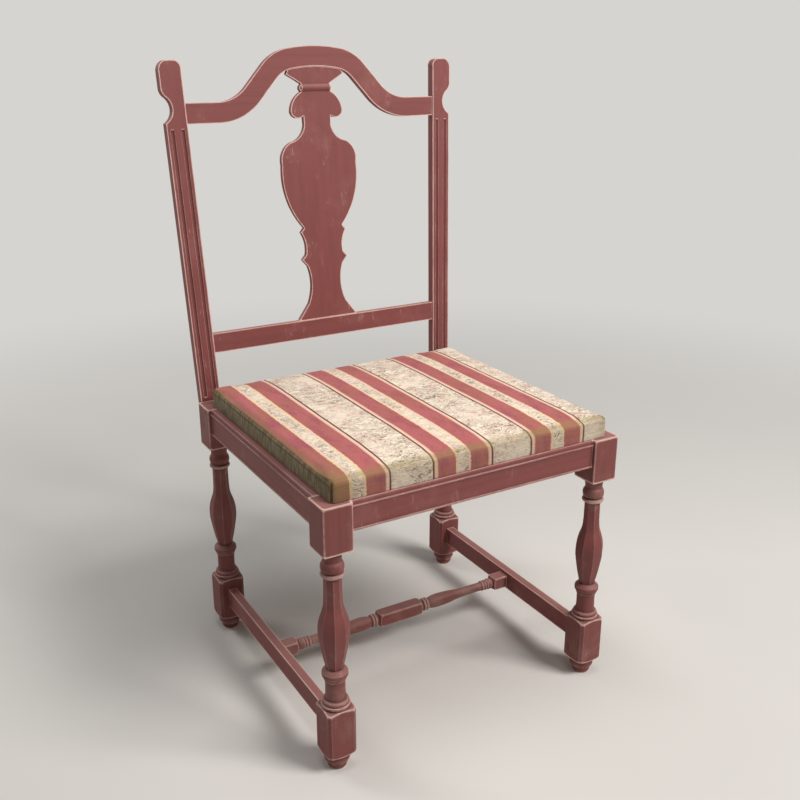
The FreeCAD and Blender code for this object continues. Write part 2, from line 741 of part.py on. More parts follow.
def make_splat():
    """Fretted board with a half round bead across its front and a tongue at each end."""
    splat = new_body("splat")
    pad(splat, "splat_thickness_pad", "XZ_Plane", splat_outline(), "splat_thickness", back=True)
    tongue = (
        rectangle(mm.tongue_width, 2 * mm.tongue_length, (0, SPLAT_LOW))
        + rectangle(mm.tongue_width, 2 * mm.tongue_length, (0, SPLAT_HIGH))
    )
    tongues = pad(splat, "splat_tongues", "XZ_Plane", tongue, "tongue_thickness", back=True)
    tongues.Profile[0].setExpression(
        ".AttachmentOffset.Base.z", linked("-(splat_thickness - tongue_thickness) / 2"))
    low = splat_point(SPLAT_EAR_TOP_SHARES[1])[1]
    high = splat_point(SPLAT_BEAD_SHARES[1])[1]
    swell = Outline(0, low).arc((-mm.splat_bead_stand, (low + high) / 2), (0, high))
    swell.line(mm.splat_thickness / 2, high)
    edges = swell.line(mm.splat_thickness / 2, low).close()
    bead_length = f"splat_width * {SPLAT_EAR_TOP_SHARES[1][0]}"
    pad(splat, "splat_bead", "YZ_Plane", edges, bead_length, side="Symmetric")
    return lean(splat, "(back_setback + splat_setback)")


# Corner braces, drawn with the rails' inner corner at the origin
def brace_outline():
    leg_reach = mm.leg_stock - mm.rail_inset - mm.rail_thickness
    near = 2 * leg_reach + mm.brace_gap
    far = mm.brace_reach
    return Outline(near, 0).line(far, 0).line(0, far).line(0, near).close()


CORNERS = {
    "front_left": (-1, "0", "1", 0),
    "front_right": (1, "0", "1", 90),
    "rear_right": (1, "frame_depth", "-1", 180),
    "rear_left": (-1, "frame_depth", "-1", 270),
}
RAIL_INNER = "(rail_inset + rail_thickness - leg_stock / 2)"
nodes = {}
for corner, (side, y, inward, angle) in CORNERS.items():
    name = f"corner_block_{corner}"
    brace = new_body(name)
    pad(brace, f"{name}_pad", "XY_Plane", brace_outline(), "brace_height")
    turn(brace, Vector(0, 0, 1), str(angle))
    nodes[name] = place(brace, f"{side} * (frame_width / 2 - {RAIL_INNER})", f"{y} + {inward} * {RAIL_INNER}",
                        "frame_height - brace_drop - brace_height")

# Seat frame
RAIL_OUT = "(leg_stock / 2 - rail_inset - rail_thickness / 2)"
across = "(frame_width - leg_stock)"
along = "(frame_depth - leg_stock)"
plain = rectangle(mm.rail_thickness, mm.rail_height, (0, mm.rail_height / 2))
RAILS = {
    "front": (rail_section(), across, 0, "0", f"-{RAIL_OUT}"),
    "rear": (plain, across, 180, "0", f"frame_depth + {RAIL_OUT}"),
    "left": (rail_section(), along, -90, f"-(frame_width / 2 + {RAIL_OUT})", "frame_depth / 2"),
    "right": (rail_section(), along, 90, f"frame_width / 2 + {RAIL_OUT}", "frame_depth / 2"),
}
rail_mortises = {}
for name, (section, clear_length, angle, x, y) in RAILS.items():
    nodes[f"{name}_seat_rail"] = make_rail(f"{name}_seat_rail", section, clear_length, angle, x, y)
    rail_mortises[name] = rail_mortise(f"{name}_rail_mortise", clear_length, clear_length == across, x, y)

# Stretchers
medial_reach = "(frame_width - stretcher_thickness + 2 * (medial_tenon_length + glue_gap))"
medial_mortise = rod("medial_mortise", "medial_tenon_diameter + 2 * glue_gap", medial_reach,
                     (f"-{medial_reach} / 2", "frame_depth / 2", "medial_level"))
turn(medial_mortise, Vector(0, 1, 0), "90")
nodes["medial_stretcher"] = make_medial_stretcher()
stretcher_mortises = {}
for name, side in SIDES.items():
    x = f"{side} * frame_width / 2"
    stretcher = make_stretcher(f"{name}_stretcher", x)
    nodes[f"{name}_side_stretcher"] = cut(f"{name}_side_stretcher", stretcher, [medial_mortise])
    stretcher_mortises[name] = stretcher_mortise(f"{name}_stretcher_mortise", x)

# Back
nodes["splat"] = make_splat()
tongue_room = ("tongue_width + 2 * glue_gap", "tongue_thickness + 2 * glue_gap")
tongue_y = "back_setback + splat_setback + (splat_thickness - tongue_thickness) / 2 - glue_gap"
tongue_x = "-tongue_width / 2 - glue_gap"
top_slot = box("crest_slot", (*tongue_room, "2 * tongue_length"),
               (tongue_x, tongue_y, "crest_level + crest_rise - crest_depth / 2 - tongue_length"))
low_slot = box("cross_rail_slot", (*tongue_room, "2 * tongue_length"),
               (tongue_x, tongue_y, "cross_rail_level + cross_rail_height / 2 - tongue_length"))
nodes["crest_rail"] = lean(cut("crest_rail", make_crest(), [top_slot]))
nodes["cross_rail"] = lean(cut("cross_rail", make_cross_rail(), [low_slot]))
housings = {}
for name, side in SIDES.items():
    mortises = [
        back_mortise(f"{name}_crest_mortise", side, mm.crest_level, "crest_depth", "crest_thickness"),
        back_mortise(f"{name}_cross_mortise", side, mm.cross_rail_level,
                     "cross_rail_height", "cross_rail_thickness"),
    ]
    nodes[f"back_post_{name}"] = lean(cut(f"back_post_{name}", make_post(f"{name}_post", side), mortises))
    width = "(post_width + 2 * glue_gap)"
    hollow = box(f"{name}_housing_hollow", (width, "leg_stock", "post_tail + glue_gap + overrun"),
                 (f"-{width} / 2", "-glue_gap", "-post_tail - glue_gap"))
    splayed = turn(group(f"{name}_housing_splayed", [hollow]), Vector(0, 1, 0), f"{side} * back_splay")
    upright = group(f"{name}_housing_upright", [place(splayed, f"{side} * frame_width / 2")])
    housings[name] = lean(placed(upright, f"{name}_housing"))

# Legs
leg = make_leg()
for side_name, side in SIDES.items():
    for end, y in (("front", "0"), ("rear", "frame_depth")):
        blank = placed(leg, f"{end}_{side_name}_leg_blank", f"{side} * frame_width / 2", y)
        joints = [rail_mortises[end], rail_mortises[side_name], stretcher_mortises[side_name]]
        if end == "rear":
            joints.append(housings[side_name])
        nodes[f"{end}_leg_{side_name}"] = cut(f"{end}_leg_{side_name}", blank, joints)


# Loose seat
SEAT_HALF = mm.frame_width / 2 + mm.leg_stock / 2 - mm.seat_side_reveal
SEAT_DEPTH = mm.frame_depth + mm.leg_stock - mm.seat_front_reveal - mm.seat_rear_reveal


def seat_plan(inset, radius):
    """The seat from above: rounded corners, and sides drawn in to their middles."""
    half = SEAT_HALF - inset
    depth = SEAT_DEPTH / 2 - inset
    bend = radius * (1 - 1 / math.sqrt(2))
    front = depth - mm.seat_draw * (half - radius) / (SEAT_HALF - mm.seat_corner_radius)
    flank = half - mm.seat_draw * (depth - radius) / (SEAT_DEPTH / 2 - mm.seat_corner_radius)
    outline = Outline(0, -front).line(half - radius, -depth)
    outline.arc((half - bend, bend - depth), (half, radius - depth)).line(flank, 0).line(half, depth - radius)
    outline.arc((half - bend, depth - bend), (half - radius, depth)).line(0, front).line(radius - half, depth)
    outline.arc((bend - half, depth - bend), (-half, depth - radius))
    outline.line(-flank, 0).line(-half, radius - depth)
    outline.arc((bend - half, bend - depth), (radius - half, -depth))
    return outline.close()


def seat_bevel(name, inset, low_shares, high_shares):
    """A block whose sides slope through two points of the seat's rounded edge."""
    height = mm.seat_height - 2 * inset
    level = height - mm.seat_edge_radius * (1 - low_shares[0])
    start = mm.seat_edge_radius * low_shares[1]
    slope = (high_shares[1] - low_shares[1]) / (high_shares[0] - low_shares[0])
    top = height + mm.seat_crown
    block = doc.addObject("Part::Wedge", name)
    block.Ymin, block.Ymax = 0, top
    half = SEAT_HALF - inset - start
    depth = SEAT_DEPTH / 2 - inset - start
    low, high = slope * level, slope * (top - level)
    block.Xmin, block.Xmax = -half - low, half + low
    block.Zmin, block.Zmax = -depth - low, depth + low
    block.X2min, block.X2max = high - half, half - high
    block.Z2min, block.Z2max = high - depth, depth - high
    return turn(block, Vector(1, 0, 0), "90")


def make_cushion(name, inset):
    """The seat's crowned form with rounded edges, or the same form a cloth's thickness further in."""
    middle = "(frame_depth + seat_front_reveal - seat_rear_reveal) / 2"
    bottom = f"frame_height + rest_gap + {inset}"
    sides = new_body(f"{name}_sides")
    plan = seat_plan(inset, mm.seat_corner_radius - inset)
    pad(sides, f"{name}_block", "XY_Plane", plan, "seat_height + seat_crown")
    radius = f"({seat_width}^2 / 4 + seat_crown^2) / (2 * seat_crown)"
    ball = turn(bind(doc.addObject("Part::Sphere", f"{name}_ball"), Radius=radius), Vector(0, 1, 0), "90")
    place(ball, "0", middle, f"{bottom} + seat_height + seat_crown - 2 * {inset} - ({radius})")
    steps = zip(SEAT_EDGE_SHARES, SEAT_EDGE_SHARES[1:])
    bevels = [seat_bevel(f"{name}_bevel_{i}", inset, low, high) for i, (low, high) in enumerate(steps)]
    for piece in (sides, *bevels):
        place(piece, "0", middle, bottom)
    rounded = common(f"{name}_rounded", common(f"{name}_steep", sides, bevels[0]), bevels[1])
    doc.recompute()
    form = doc.addObject("Part::Feature", name)
    form.Shape = rounded.Shape.common(ball.Shape).Solids[0]
    return form


seat_width = "(frame_width + leg_stock - 2 * seat_side_reveal)"
seat_depth = "(frame_depth + leg_stock - seat_front_reveal - seat_rear_reveal)"
seat_front = "(seat_front_reveal - leg_stock / 2)"
cushion = make_cushion("cushion", 0)
cushion_room = make_cushion("cushion_room", mm.cover_thickness)
filling = make_cushion("filling", mm.cover_thickness + mm.glue_gap)
board_top = "frame_height + rest_gap + cover_thickness + glue_gap + board_thickness"
opening = box(
    "cover_opening",
    (f"{seat_width} - 2 * cover_margin", f"{seat_depth} - 2 * cover_margin", "2 * overrun"),
    (f"cover_margin - {seat_width} / 2", f"{seat_front} + cover_margin", "frame_height - overrun"))
low_zone = box("board_zone", (seat_width, seat_depth, "frame_height"),
               (f"-{seat_width} / 2", seat_front, f"{board_top} - frame_height"))
high_zone = box("pad_zone", (seat_width, seat_depth, "frame_height"),
                (f"-{seat_width} / 2", seat_front, board_top))


shell = cut("seat_cover_shell", cushion, [cushion_room])
nodes["seat_cover"] = cut("seat_cover", shell, [opening])
nodes["seat_board"] = common("seat_board", filling, low_zone)
nodes["seat_pad"] = common("seat_pad", filling, high_zone)
batten_length = f"(frame_depth - 2 * ({RAIL_INNER} + brace_reach + batten_play))"
for name, side in SIDES.items():
    middle = f"{side} * (frame_width / 2 - {RAIL_INNER} - batten_play - batten_width / 2)"
    nodes[f"{name}_seat_batten"] = box(
        f"{name}_seat_batten", ("batten_width", batten_length, "batten_thickness"),
        (f"{middle} - batten_width / 2", f"(frame_depth - {batten_length}) / 2",
         "frame_height + rest_gap - batten_thickness"))

# Checks, then the origin goes to the middle of the chair at floor level
doc.recompute()
for thing in doc.Objects:
    if {"Invalid", "Error"} & set(thing.State):
        raise RuntimeError(f"{thing.Name} is {thing.State}")
bounds = FreeCAD.BoundBox()
for name, thing in nodes.items():
    thing.Label = name
    if thing.Shape.isNull() or not thing.Shape.isValid():
        raise RuntimeError(f"{name} has no valid shape")
    bounds.add(thing.Shape.optimalBoundingBox(False))
origin = Vector(bounds.Center.x, bounds.Center.y, bounds.ZMin)
os.makedirs("parts", exist_ok=True)
for name, thing in nodes.items():
    solids = thing.Shape.Solids
    shape = solids[0] if len(solids) == 1 else Part.makeCompound(solids)
    shape.translated(-origin).exportStep(f"parts/{name}.step")
    print(name, len(solids), round(shape.Volume))
print("size", bounds, "origin", origin)
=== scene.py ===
# A painted side chair with turned legs and a loose striped seat, dressed around its solids.
# Lengths are metres. X runs to the right as seen from the front, Y to the back, Z up.
import math
from collections import namedtuple

import bmesh
import bpy
from mathutils import Matrix, Vector


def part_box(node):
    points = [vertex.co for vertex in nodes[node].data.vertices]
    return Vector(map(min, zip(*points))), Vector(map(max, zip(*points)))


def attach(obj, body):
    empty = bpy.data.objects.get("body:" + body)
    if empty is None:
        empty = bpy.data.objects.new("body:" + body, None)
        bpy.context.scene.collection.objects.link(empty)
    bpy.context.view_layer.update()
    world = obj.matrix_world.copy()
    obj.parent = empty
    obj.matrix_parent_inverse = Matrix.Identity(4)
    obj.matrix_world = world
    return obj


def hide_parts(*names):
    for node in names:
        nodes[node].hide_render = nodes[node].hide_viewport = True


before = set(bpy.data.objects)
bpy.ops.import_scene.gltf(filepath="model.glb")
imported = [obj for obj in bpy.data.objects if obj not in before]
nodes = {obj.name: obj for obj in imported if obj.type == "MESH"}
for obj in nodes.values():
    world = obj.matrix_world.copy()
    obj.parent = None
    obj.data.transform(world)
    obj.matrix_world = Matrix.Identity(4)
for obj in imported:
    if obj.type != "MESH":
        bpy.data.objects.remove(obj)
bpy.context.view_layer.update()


def colour(red, green, blue):
    """A colour as a paint chart gives it, 0 to 255, made linear for the shader."""
    shares = [value / 255 for value in (red, green, blue)]
    return (*[s / 12.92 if s <= 0.04045 else ((s + 0.055) / 1.055) ** 2.4 for s in shares], 1.0)


def unit(value):
    """The value kept between 0 and 1."""
    return min(1.0, max(0.0, value))


def hump(value, middle, width):
    """1 where the value is at the middle, falling to nothing a few widths away from it."""
    return math.exp(-((value - middle) / width) ** 2)


# Objects and meshes
def linked(name, data):
    """A new object with this data, in the scene."""
    made = bpy.data.objects.new(name, data)
    bpy.context.scene.collection.objects.link(made)
    return made


def modified_mesh(host):
    """A copy of the host's mesh as its modifiers leave it."""
    return bpy.data.meshes.new_from_object(host.evaluated_get(bpy.context.evaluated_depsgraph_get()))


def flat_copy(host, name):
    """A new object with the host's modified mesh, and the host removed."""
    mesh = modified_mesh(host)
    bpy.data.objects.remove(host)
    mesh.name = name
    return linked(name, mesh)


def drop_values(mesh, titles):
    """Removes values that only the node tree needed."""
    for title in titles:
        found = mesh.attributes.get(title)
        if found:
            mesh.attributes.remove(found)


# Node trees written as expressions
class Wire:
    """An output socket: arithmetic on it adds Math nodes to its tree."""

    def __init__(self, graph, socket):
        self.graph = graph
        self.socket = socket

    def math(self, operation, *values, clamp=False):
        return self.graph.node("ShaderNodeMath", {"operation": operation, "use_clamp": clamp}, values)

    def __add__(self, other):
        return self.math("ADD", self, other)

    __radd__ = __add__

    def __sub__(self, other):
        return self.math("SUBTRACT", self, other)

    def __rsub__(self, other):
        return self.math("SUBTRACT", other, self)

    def __mul__(self, other):
        return self.math("MULTIPLY", self, other)

    __rmul__ = __mul__

    def __truediv__(self, other):
        return self.math("DIVIDE", self, other)

    def __abs__(self):
        return self.math("ABSOLUTE", self)

    def least(self, other):
        return self.math("MINIMUM", self, other)

    def most(self, other):
        return self.math("MAXIMUM", self, other)

    def clamped(self):
        """The same value kept between 0 and 1."""
        return self.math("ADD", self, 0.0, clamp=True)

    def rise(self, low, high):
        """0 below low, 1 above high, a smooth step between them."""
        settings = {"interpolation_type": "SMOOTHSTEP", "clamp": True}
        inputs = {"Value": self, "From Min": low, "From Max": high}
        return self.graph.node("ShaderNodeMapRange", settings, inputs)


class Graph:
    """A node tree, for a finish, a shape or the sky."""

    def __init__(self, tree):
        self.tree = tree

    def node(self, kind, settings=None, inputs=(), out=0):
        """Adds a node, with inputs by name or in order, and gives one of its outputs."""
        made = self.tree.nodes.new(kind)
        for key, value in (settings or {}).items():
            setattr(made, key, value)
        pairs = inputs.items() if isinstance(inputs, dict) else enumerate(inputs)
        for key, value in pairs:
            if isinstance(value, Wire):
                self.tree.links.new(value.socket, made.inputs[key])
            else:
                made.inputs[key].default_value = value
        return Wire(self, made.outputs[out]) if made.outputs else None

    def parts(self, vector):
        split = self.node("ShaderNodeSeparateXYZ", None, (vector,)).socket.node
        return [Wire(self, socket) for socket in split.outputs]

    def joined(self, x, y, z):
        return self.node("ShaderNodeCombineXYZ", None, (x, y, z))


class Finish(Graph):
    """A material, which close gives one principled shader."""

    def __init__(self, name):
        self.material = bpy.data.materials.new(name)
        self.material.use_nodes = True
        super().__init__(self.material.node_tree)
        self.tree.nodes.clear()

    def place(self):
        return self.node("ShaderNodeTexCoord", out="Object")

    def facing(self):
        """The three parts of the way that the surface faces."""
        return self.parts(self.node("ShaderNodeNewGeometry", out="Normal"))

    def stretched(self, vector, scale, turn=(0, 0, 0)):
        return self.node("ShaderNodeMapping", {"vector_type": "POINT"},
                         {"Vector": vector, "Scale": scale, "Rotation": turn})

    def cloud(self, vector, scale, detail=3.0, rough=0.55, bend=0.0):
        return self.node("ShaderNodeTexNoise", None, {
            "Vector": vector, "Scale": scale, "Detail": detail, "Roughness": rough, "Distortion": bend})

    def mixed(self, first, second, share):
        return self.node("ShaderNodeMix", {"data_type": "RGBA", "clamp_factor": True},
                         {0: share, 6: first, 7: second}, out=2)

    def closeness(self, reach, inside):
        """How much of the piece itself lies within reach, under the surface or over it."""
        settings = {"samples": 8, "inside": inside, "only_local": True}
        return 1 - self.node("ShaderNodeAmbientOcclusion", settings, {"Distance": reach}, out="AO")

    def bump(self, height, strength, depth):
        inputs = {"Height": height, "Strength": strength, "Distance": depth}
        return self.node("ShaderNodeBump", None, inputs)

    def close(self, base, rough, normal=None, **fixed):
        inputs = {"Base Color": base, "Roughness": rough, **fixed}
        if normal:
            inputs["Normal"] = normal
        shader = self.node("ShaderNodeBsdfPrincipled", None, inputs)
        self.node("ShaderNodeOutputMaterial", None, {"Surface": shader})
        return self.material


class Shape(Graph):
    """A geometry tree with named inputs that ends in real geometry with a material."""

    def __init__(self, name, sizes):
        super().__init__(bpy.data.node_groups.new(name, "GeometryNodeTree"))
        sockets = self.tree.interface
        sockets.new_socket("Geometry", in_out="OUTPUT", socket_type="NodeSocketGeometry")
        for title, kind in {"Geometry": "Geometry", **sizes}.items():
            sockets.new_socket(title, in_out="INPUT", socket_type=f"NodeSocket{kind}")
        start = self.node("NodeGroupInput").socket.node
        self.given = {socket.name: Wire(self, socket) for socket in start.outputs if socket.name}

    def carried(self, title, kind="FLOAT"):
        """A named value that the points of the host mesh carry."""
        settings = {"data_type": kind}
        return self.node("GeometryNodeInputNamedAttribute", settings, {"Name": title}, out="Attribute")

    def close(self, geometry):
        """Ends the tree in real geometry with the given finish."""
        real = self.node("GeometryNodeRealizeInstances", None, {"Geometry": geometry})
        done = self.node("GeometryNodeSetMaterial", None,
                         {"Geometry": real, "Material": self.given["Finish"]})
        self.node("NodeGroupOutput", None, {"Geometry": done})
        return self.tree


def shaped(tree, host_mesh, name, values):
    """A plain object with the mesh that the tree makes from the host mesh."""
    host = linked(f"{name}_host", host_mesh)
    modifier = host.modifiers.new("shape", "NODES")
    modifier.node_group = tree
    for socket in tree.interface.items_tree:
        if socket.in_out == "INPUT" and socket.name in values:
            modifier[socket.identifier] = values[socket.name]
    return flat_copy(host, name)


# Paint, bare wood and steel: colours, marks to a metre, reach of the painted shade in hollows and depth of
# relief
ROSE_PAINT = colour(129, 70, 68)
BROWN_PAINT = colour(106, 59, 52)
FADED_PAINT = colour(150, 97, 92)
GREYED_PAINT = colour(148, 112, 101)
WORN_EDGE = colour(226, 188, 178)
# Pale dust for the scuffs, also used as painted top light on what faces up
DUST_AND_TOP_LIGHT = colour(168, 124, 120)
# Near black, for the painted shade in hollows
HOLLOW_SHADE = colour(48, 28, 25)
BARE_WOOD = colour(176, 138, 96)
BARE_GRAIN = colour(124, 90, 58)
BARE_STAIN = colour(104, 80, 58)
STEEL_GREY = colour(150, 146, 140)
STEEL_RUST = colour(96, 74, 58)
ALONG_GRAIN = 5.0
ACROSS_GRAIN = 95.0
PAINT_BLOTCHES = 13.0
PAINT_FLECKS = 150.0
SCRATCHES = (260.0, 260.0, 22.0)
SCRATCH_TURN = (0.5, 0.3, 0.0)
SCUFFS = (70.0, 70.0, 38.0)
BARE_BLOTCHES = 9.0
RUST_SPOTS = 420.0
PAINT_HOLLOW_SHADE_REACH = 0.007
BARE_HOLLOW_SHADE_REACH = 0.01
PAINT_RELIEF = 0.0005
GRAIN_RELIEF = 0.0006


def grain_scale(axis):
    return tuple(ALONG_GRAIN if index == axis else ACROSS_GRAIN for index in range(3))


def painted_wood(name, axis, browned=0.0, faded=0.5, fade=FADED_PAINT, rubbed=0.0025):
    """Dull rose paint over wood whose grain runs along one axis, rubbed through at the edges."""
    finish = Finish(name)
    place = finish.place()
    streaks = finish.cloud(finish.stretched(place, grain_scale(axis)), 1.0, 5.0, 0.6)
    blotches = finish.cloud(place, PAINT_BLOTCHES, 4.0, 0.6, 0.4)
    flecks = finish.cloud(place, PAINT_FLECKS, 3.0, 0.7)
    # Brown along the grain, then faded blotches
    browning = (streaks.rise(0.42, 0.68) * 0.32 + browned * blotches).clamped()
    base = finish.mixed(ROSE_PAINT, BROWN_PAINT, browning)
    fading = (blotches.rise(0.62 - 0.24 * faded, 0.8 - 0.1 * faded) * faded).clamped()
    base = finish.mixed(base, fade, fading)
    # Painted top light, in the colour of dust, on what faces up, then fine scratches and wider scuffs
    up = finish.facing()[2]
    base = finish.mixed(base, DUST_AND_TOP_LIGHT, up.rise(0.25, 0.95) * (0.3 + 0.7 * blotches) * 0.75)
    scratches = finish.cloud(finish.stretched(place, SCRATCHES, SCRATCH_TURN), 1.0, 2.0, 0.5)
    base = finish.mixed(base, WORN_EDGE, scratches.rise(0.69, 0.76) * blotches.rise(0.5, 0.62) * 0.35)
    scuffs = finish.cloud(finish.stretched(place, SCUFFS), 1.0, 5.0, 0.72, 0.6)
    base = finish.mixed(base, DUST_AND_TOP_LIGHT, scuffs.rise(0.56, 0.68) * blotches.rise(0.46, 0.6) * 0.42)
    # Painted shade darkening the hollows, and edges rubbed pale
    hollow_shade = finish.closeness(PAINT_HOLLOW_SHADE_REACH, False)
    base = finish.mixed(base, HOLLOW_SHADE, (hollow_shade * 1.7 * (0.5 + blotches)).clamped() * 0.8)
    edge = finish.closeness(rubbed, True)
    worn = (edge * 2.6 * (0.55 + 0.9 * flecks * blotches.rise(0.2, 0.6))).rise(0.3, 0.75)
    base = finish.mixed(base, WORN_EDGE, worn * 0.92)
    rough = 0.5 + 0.12 * streaks + 0.16 * worn
    relief = finish.bump(streaks * 0.4 + flecks * 0.25 - worn * 0.5, 0.22, PAINT_RELIEF)
    return finish.close(base, rough, relief, **{"Specular IOR Level": 0.35})


def bare_wood(name, axis):
    """Planed softwood that was never painted."""
    finish = Finish(name)
    place = finish.place()
    streaks = finish.cloud(finish.stretched(place, grain_scale(axis)), 1.0, 6.0, 0.62, 0.6)
    blotches = finish.cloud(place, BARE_BLOTCHES, 3.0)
    base = finish.mixed(BARE_WOOD, BARE_GRAIN, streaks.rise(0.36, 0.7))
    base = finish.mixed(base, BARE_STAIN, blotches.rise(0.5, 0.75) * 0.5)
    # Painted shade darkening the hollows
    hollow_shade = finish.closeness(BARE_HOLLOW_SHADE_REACH, False)
    base = finish.mixed(base, HOLLOW_SHADE, (hollow_shade * 0.8).clamped())
    return finish.close(base, 0.7 + 0.15 * streaks, finish.bump(streaks, 0.3, GRAIN_RELIEF))


def dull_steel(name):
    """Screws and staples, dulled by age."""
    finish = Finish(name)
    rust = finish.cloud(finish.place(), RUST_SPOTS, 3.0, 0.7)
    base = finish.mixed(STEEL_GREY, STEEL_RUST, rust.rise(0.5, 0.66))
    return finish.close(base, 0.38 + 0.4 * rust, Metallic=0.85)


# Striped cloth: colours, then where each stripe starts, counted from the middle of a wide pale band
CREAM = colour(245, 230, 210)
PINK_CREAM = colour(233, 196, 184)
YELLOW_CREAM = colour(238, 212, 164)
SMUDGE = colour(204, 174, 154)
VEIN = colour(98, 79, 65)
DARK_LINE = colour(88, 24, 29)
GOLD_LINE = colour(240, 203, 172)
ROSE_STRIPE = colour(182, 101, 102)
BROWN_STRIPE = colour(168, 104, 88)
PLUM_STRIPE = colour(164, 80, 100)
WINE_THREAD = colour(140, 66, 70)
OLIVE_SOIL = colour(138, 124, 74)
# Dark grey for dirt, and for painted shade on the cushion's walls
GREY_SOIL_AND_SHADE = colour(66, 54, 42)
STRIPE_MIDDLE = 0.0545
STRIPE_HALF_REPEAT = 0.082
DARK_FROM = 0.0324
GOLD_FROM = 0.0354
GOLD_RAGGED = 0.001
ROSE_FROM = (0.0388, 0.0422)
EDGING_FROM = 0.0698
EDGING_RAGGED = 0.005
PALE_FROM = (0.0725, 0.0755)
STRIPE_SOFTNESS = 0.0005
STRIPE_SHAKE = 0.0022
CLOTH_EDGE = 0.2315
# Width of the dark dotted line along the top edge of the sides
EDGE_LINE = (0.0005, 0.0016)

# Marks to a metre of the cloth, across and along its stripes
SHAKES = (60.0, 25.0, 1.0)
FRAYS = 420.0
MOTTLES = 42.0
PATCHES = 12.0
STROKES = (40.0, 84.0, 1.0)
STROKE_TURN = (0.0, 0.0, 0.45)
HAIRS = (330.0, 150.0, 1.0)
BLEEDS = (55.0, 22.0, 1.0)
DRIPS = (28.0, 300.0, 1.0)

# Weave: radians of the threads' waves to a metre, and depth of relief
THREADS = 5200.0
WEAVE_RELIEF = 0.0005


def pale_ground(finish, cloth, mottle, patches):
    """Cream cloth with pink patches and a net of dark veins."""
    strokes = finish.stretched(cloth, STROKES, STROKE_TURN)
    curls = finish.cloud(strokes, 1.0, 3.0, 0.62, 1.6)
    fine_curls = finish.cloud(strokes, 2.3, 2.0, 0.6, 1.2)
    veins = (1 - abs(curls - 0.5).rise(0.004, 0.034)) * patches.rise(0.34, 0.56)
    fine_veins = (1 - abs(fine_curls - 0.5).rise(0.008, 0.06)) * mottle.rise(0.35, 0.6)
    pale = finish.mixed(CREAM, PINK_CREAM, mottle.rise(0.48, 0.7) * 0.7)
    pale = finish.mixed(pale, SMUDGE, curls.rise(0.5, 0.7) * 0.6)
    return finish.mixed(pale, VEIN, (veins * 0.9 + fine_veins * 0.45).clamped())


def rose_ground(finish, patches, bleeds, hairs):
    """Rose cloth that turns brown, plum and wine in places, with pale hairs."""
    rose = finish.mixed(ROSE_STRIPE, BROWN_STRIPE, patches.rise(0.42, 0.66) * 0.85)
    rose = finish.mixed(rose, PLUM_STRIPE, bleeds.rise(0.5, 0.68) * 0.75)
    rose = finish.mixed(rose, WINE_THREAD, hairs.rise(0.4, 0.62) * bleeds.rise(0.3, 0.6) * 0.4)
    return finish.mixed(rose, PINK_CREAM, hairs.rise(0.62, 0.8) * 0.22)


def stripes(finish, cloth, across, pale, rose, gold, edging):
    """From a wide pale band: dark line, gold line, rose stripe, edging and a narrow pale band."""
    shake = finish.cloud(finish.stretched(cloth, SHAKES), 1.0, 2.0)
    fray = finish.cloud(cloth, FRAYS, 2.0)
    shifted = across + (shake - 0.5) * STRIPE_SHAKE - STRIPE_MIDDLE
    place = shifted.math("PINGPONG", shifted, STRIPE_HALF_REPEAT)

    def after(edge, ragged=0.0):
        shown = place + (fray - 0.5) * ragged
        return shown.rise(edge - STRIPE_SOFTNESS, edge + STRIPE_SOFTNESS)

    base = finish.mixed(pale, DARK_LINE, after(DARK_FROM) * 0.95)
    base = finish.mixed(base, gold, after(GOLD_FROM, GOLD_RAGGED))
    base = finish.mixed(base, rose, place.rise(*ROSE_FROM))
    base = finish.mixed(base, edging, after(EDGING_FROM, EDGING_RAGGED))
    return finish.mixed(base, pale, place.rise(*PALE_FROM))


def soiled_and_shaded(finish, base, across, soil_and_shade, drips, grime_and_shade):
    """Olive and grey dirt on the rims, dirt with painted shade on the walls, painted shade darkening the
    front and back, and a dark dotted line along the top edge of the sides.
    """
    # Olive where the mark of dirt and painted shade is strong: rims, corners and walls
    base = finish.mixed(base, OLIVE_SOIL, (grime_and_shade * 1.1).clamped() * 0.78)
    # Grey in streaks where that mark is strongest, mostly the left wall: dirt with painted shade
    streaked = 0.35 + 0.65 * drips.rise(0.36, 0.64)
    base = finish.mixed(base, GREY_SOIL_AND_SHADE, soil_and_shade.rise(0.6, 1.0) * streaked * 0.8)
    # Painted shade: the front and back walls darker
    to_end = abs(finish.facing()[1])
    base = finish.mixed(base, GREY_SOIL_AND_SHADE, to_end.rise(0.5, 0.95) * (0.14 + 0.36 * drips))
    # A dark dotted line along the top edge of the sides
    edge_line = (1 - abs(abs(across) - CLOTH_EDGE).rise(*EDGE_LINE)) * drips.rise(0.3, 0.5)
    return finish.mixed(base, GREY_SOIL_AND_SHADE, edge_line * (1 - to_end.rise(0.1, 0.35)) * 0.8)


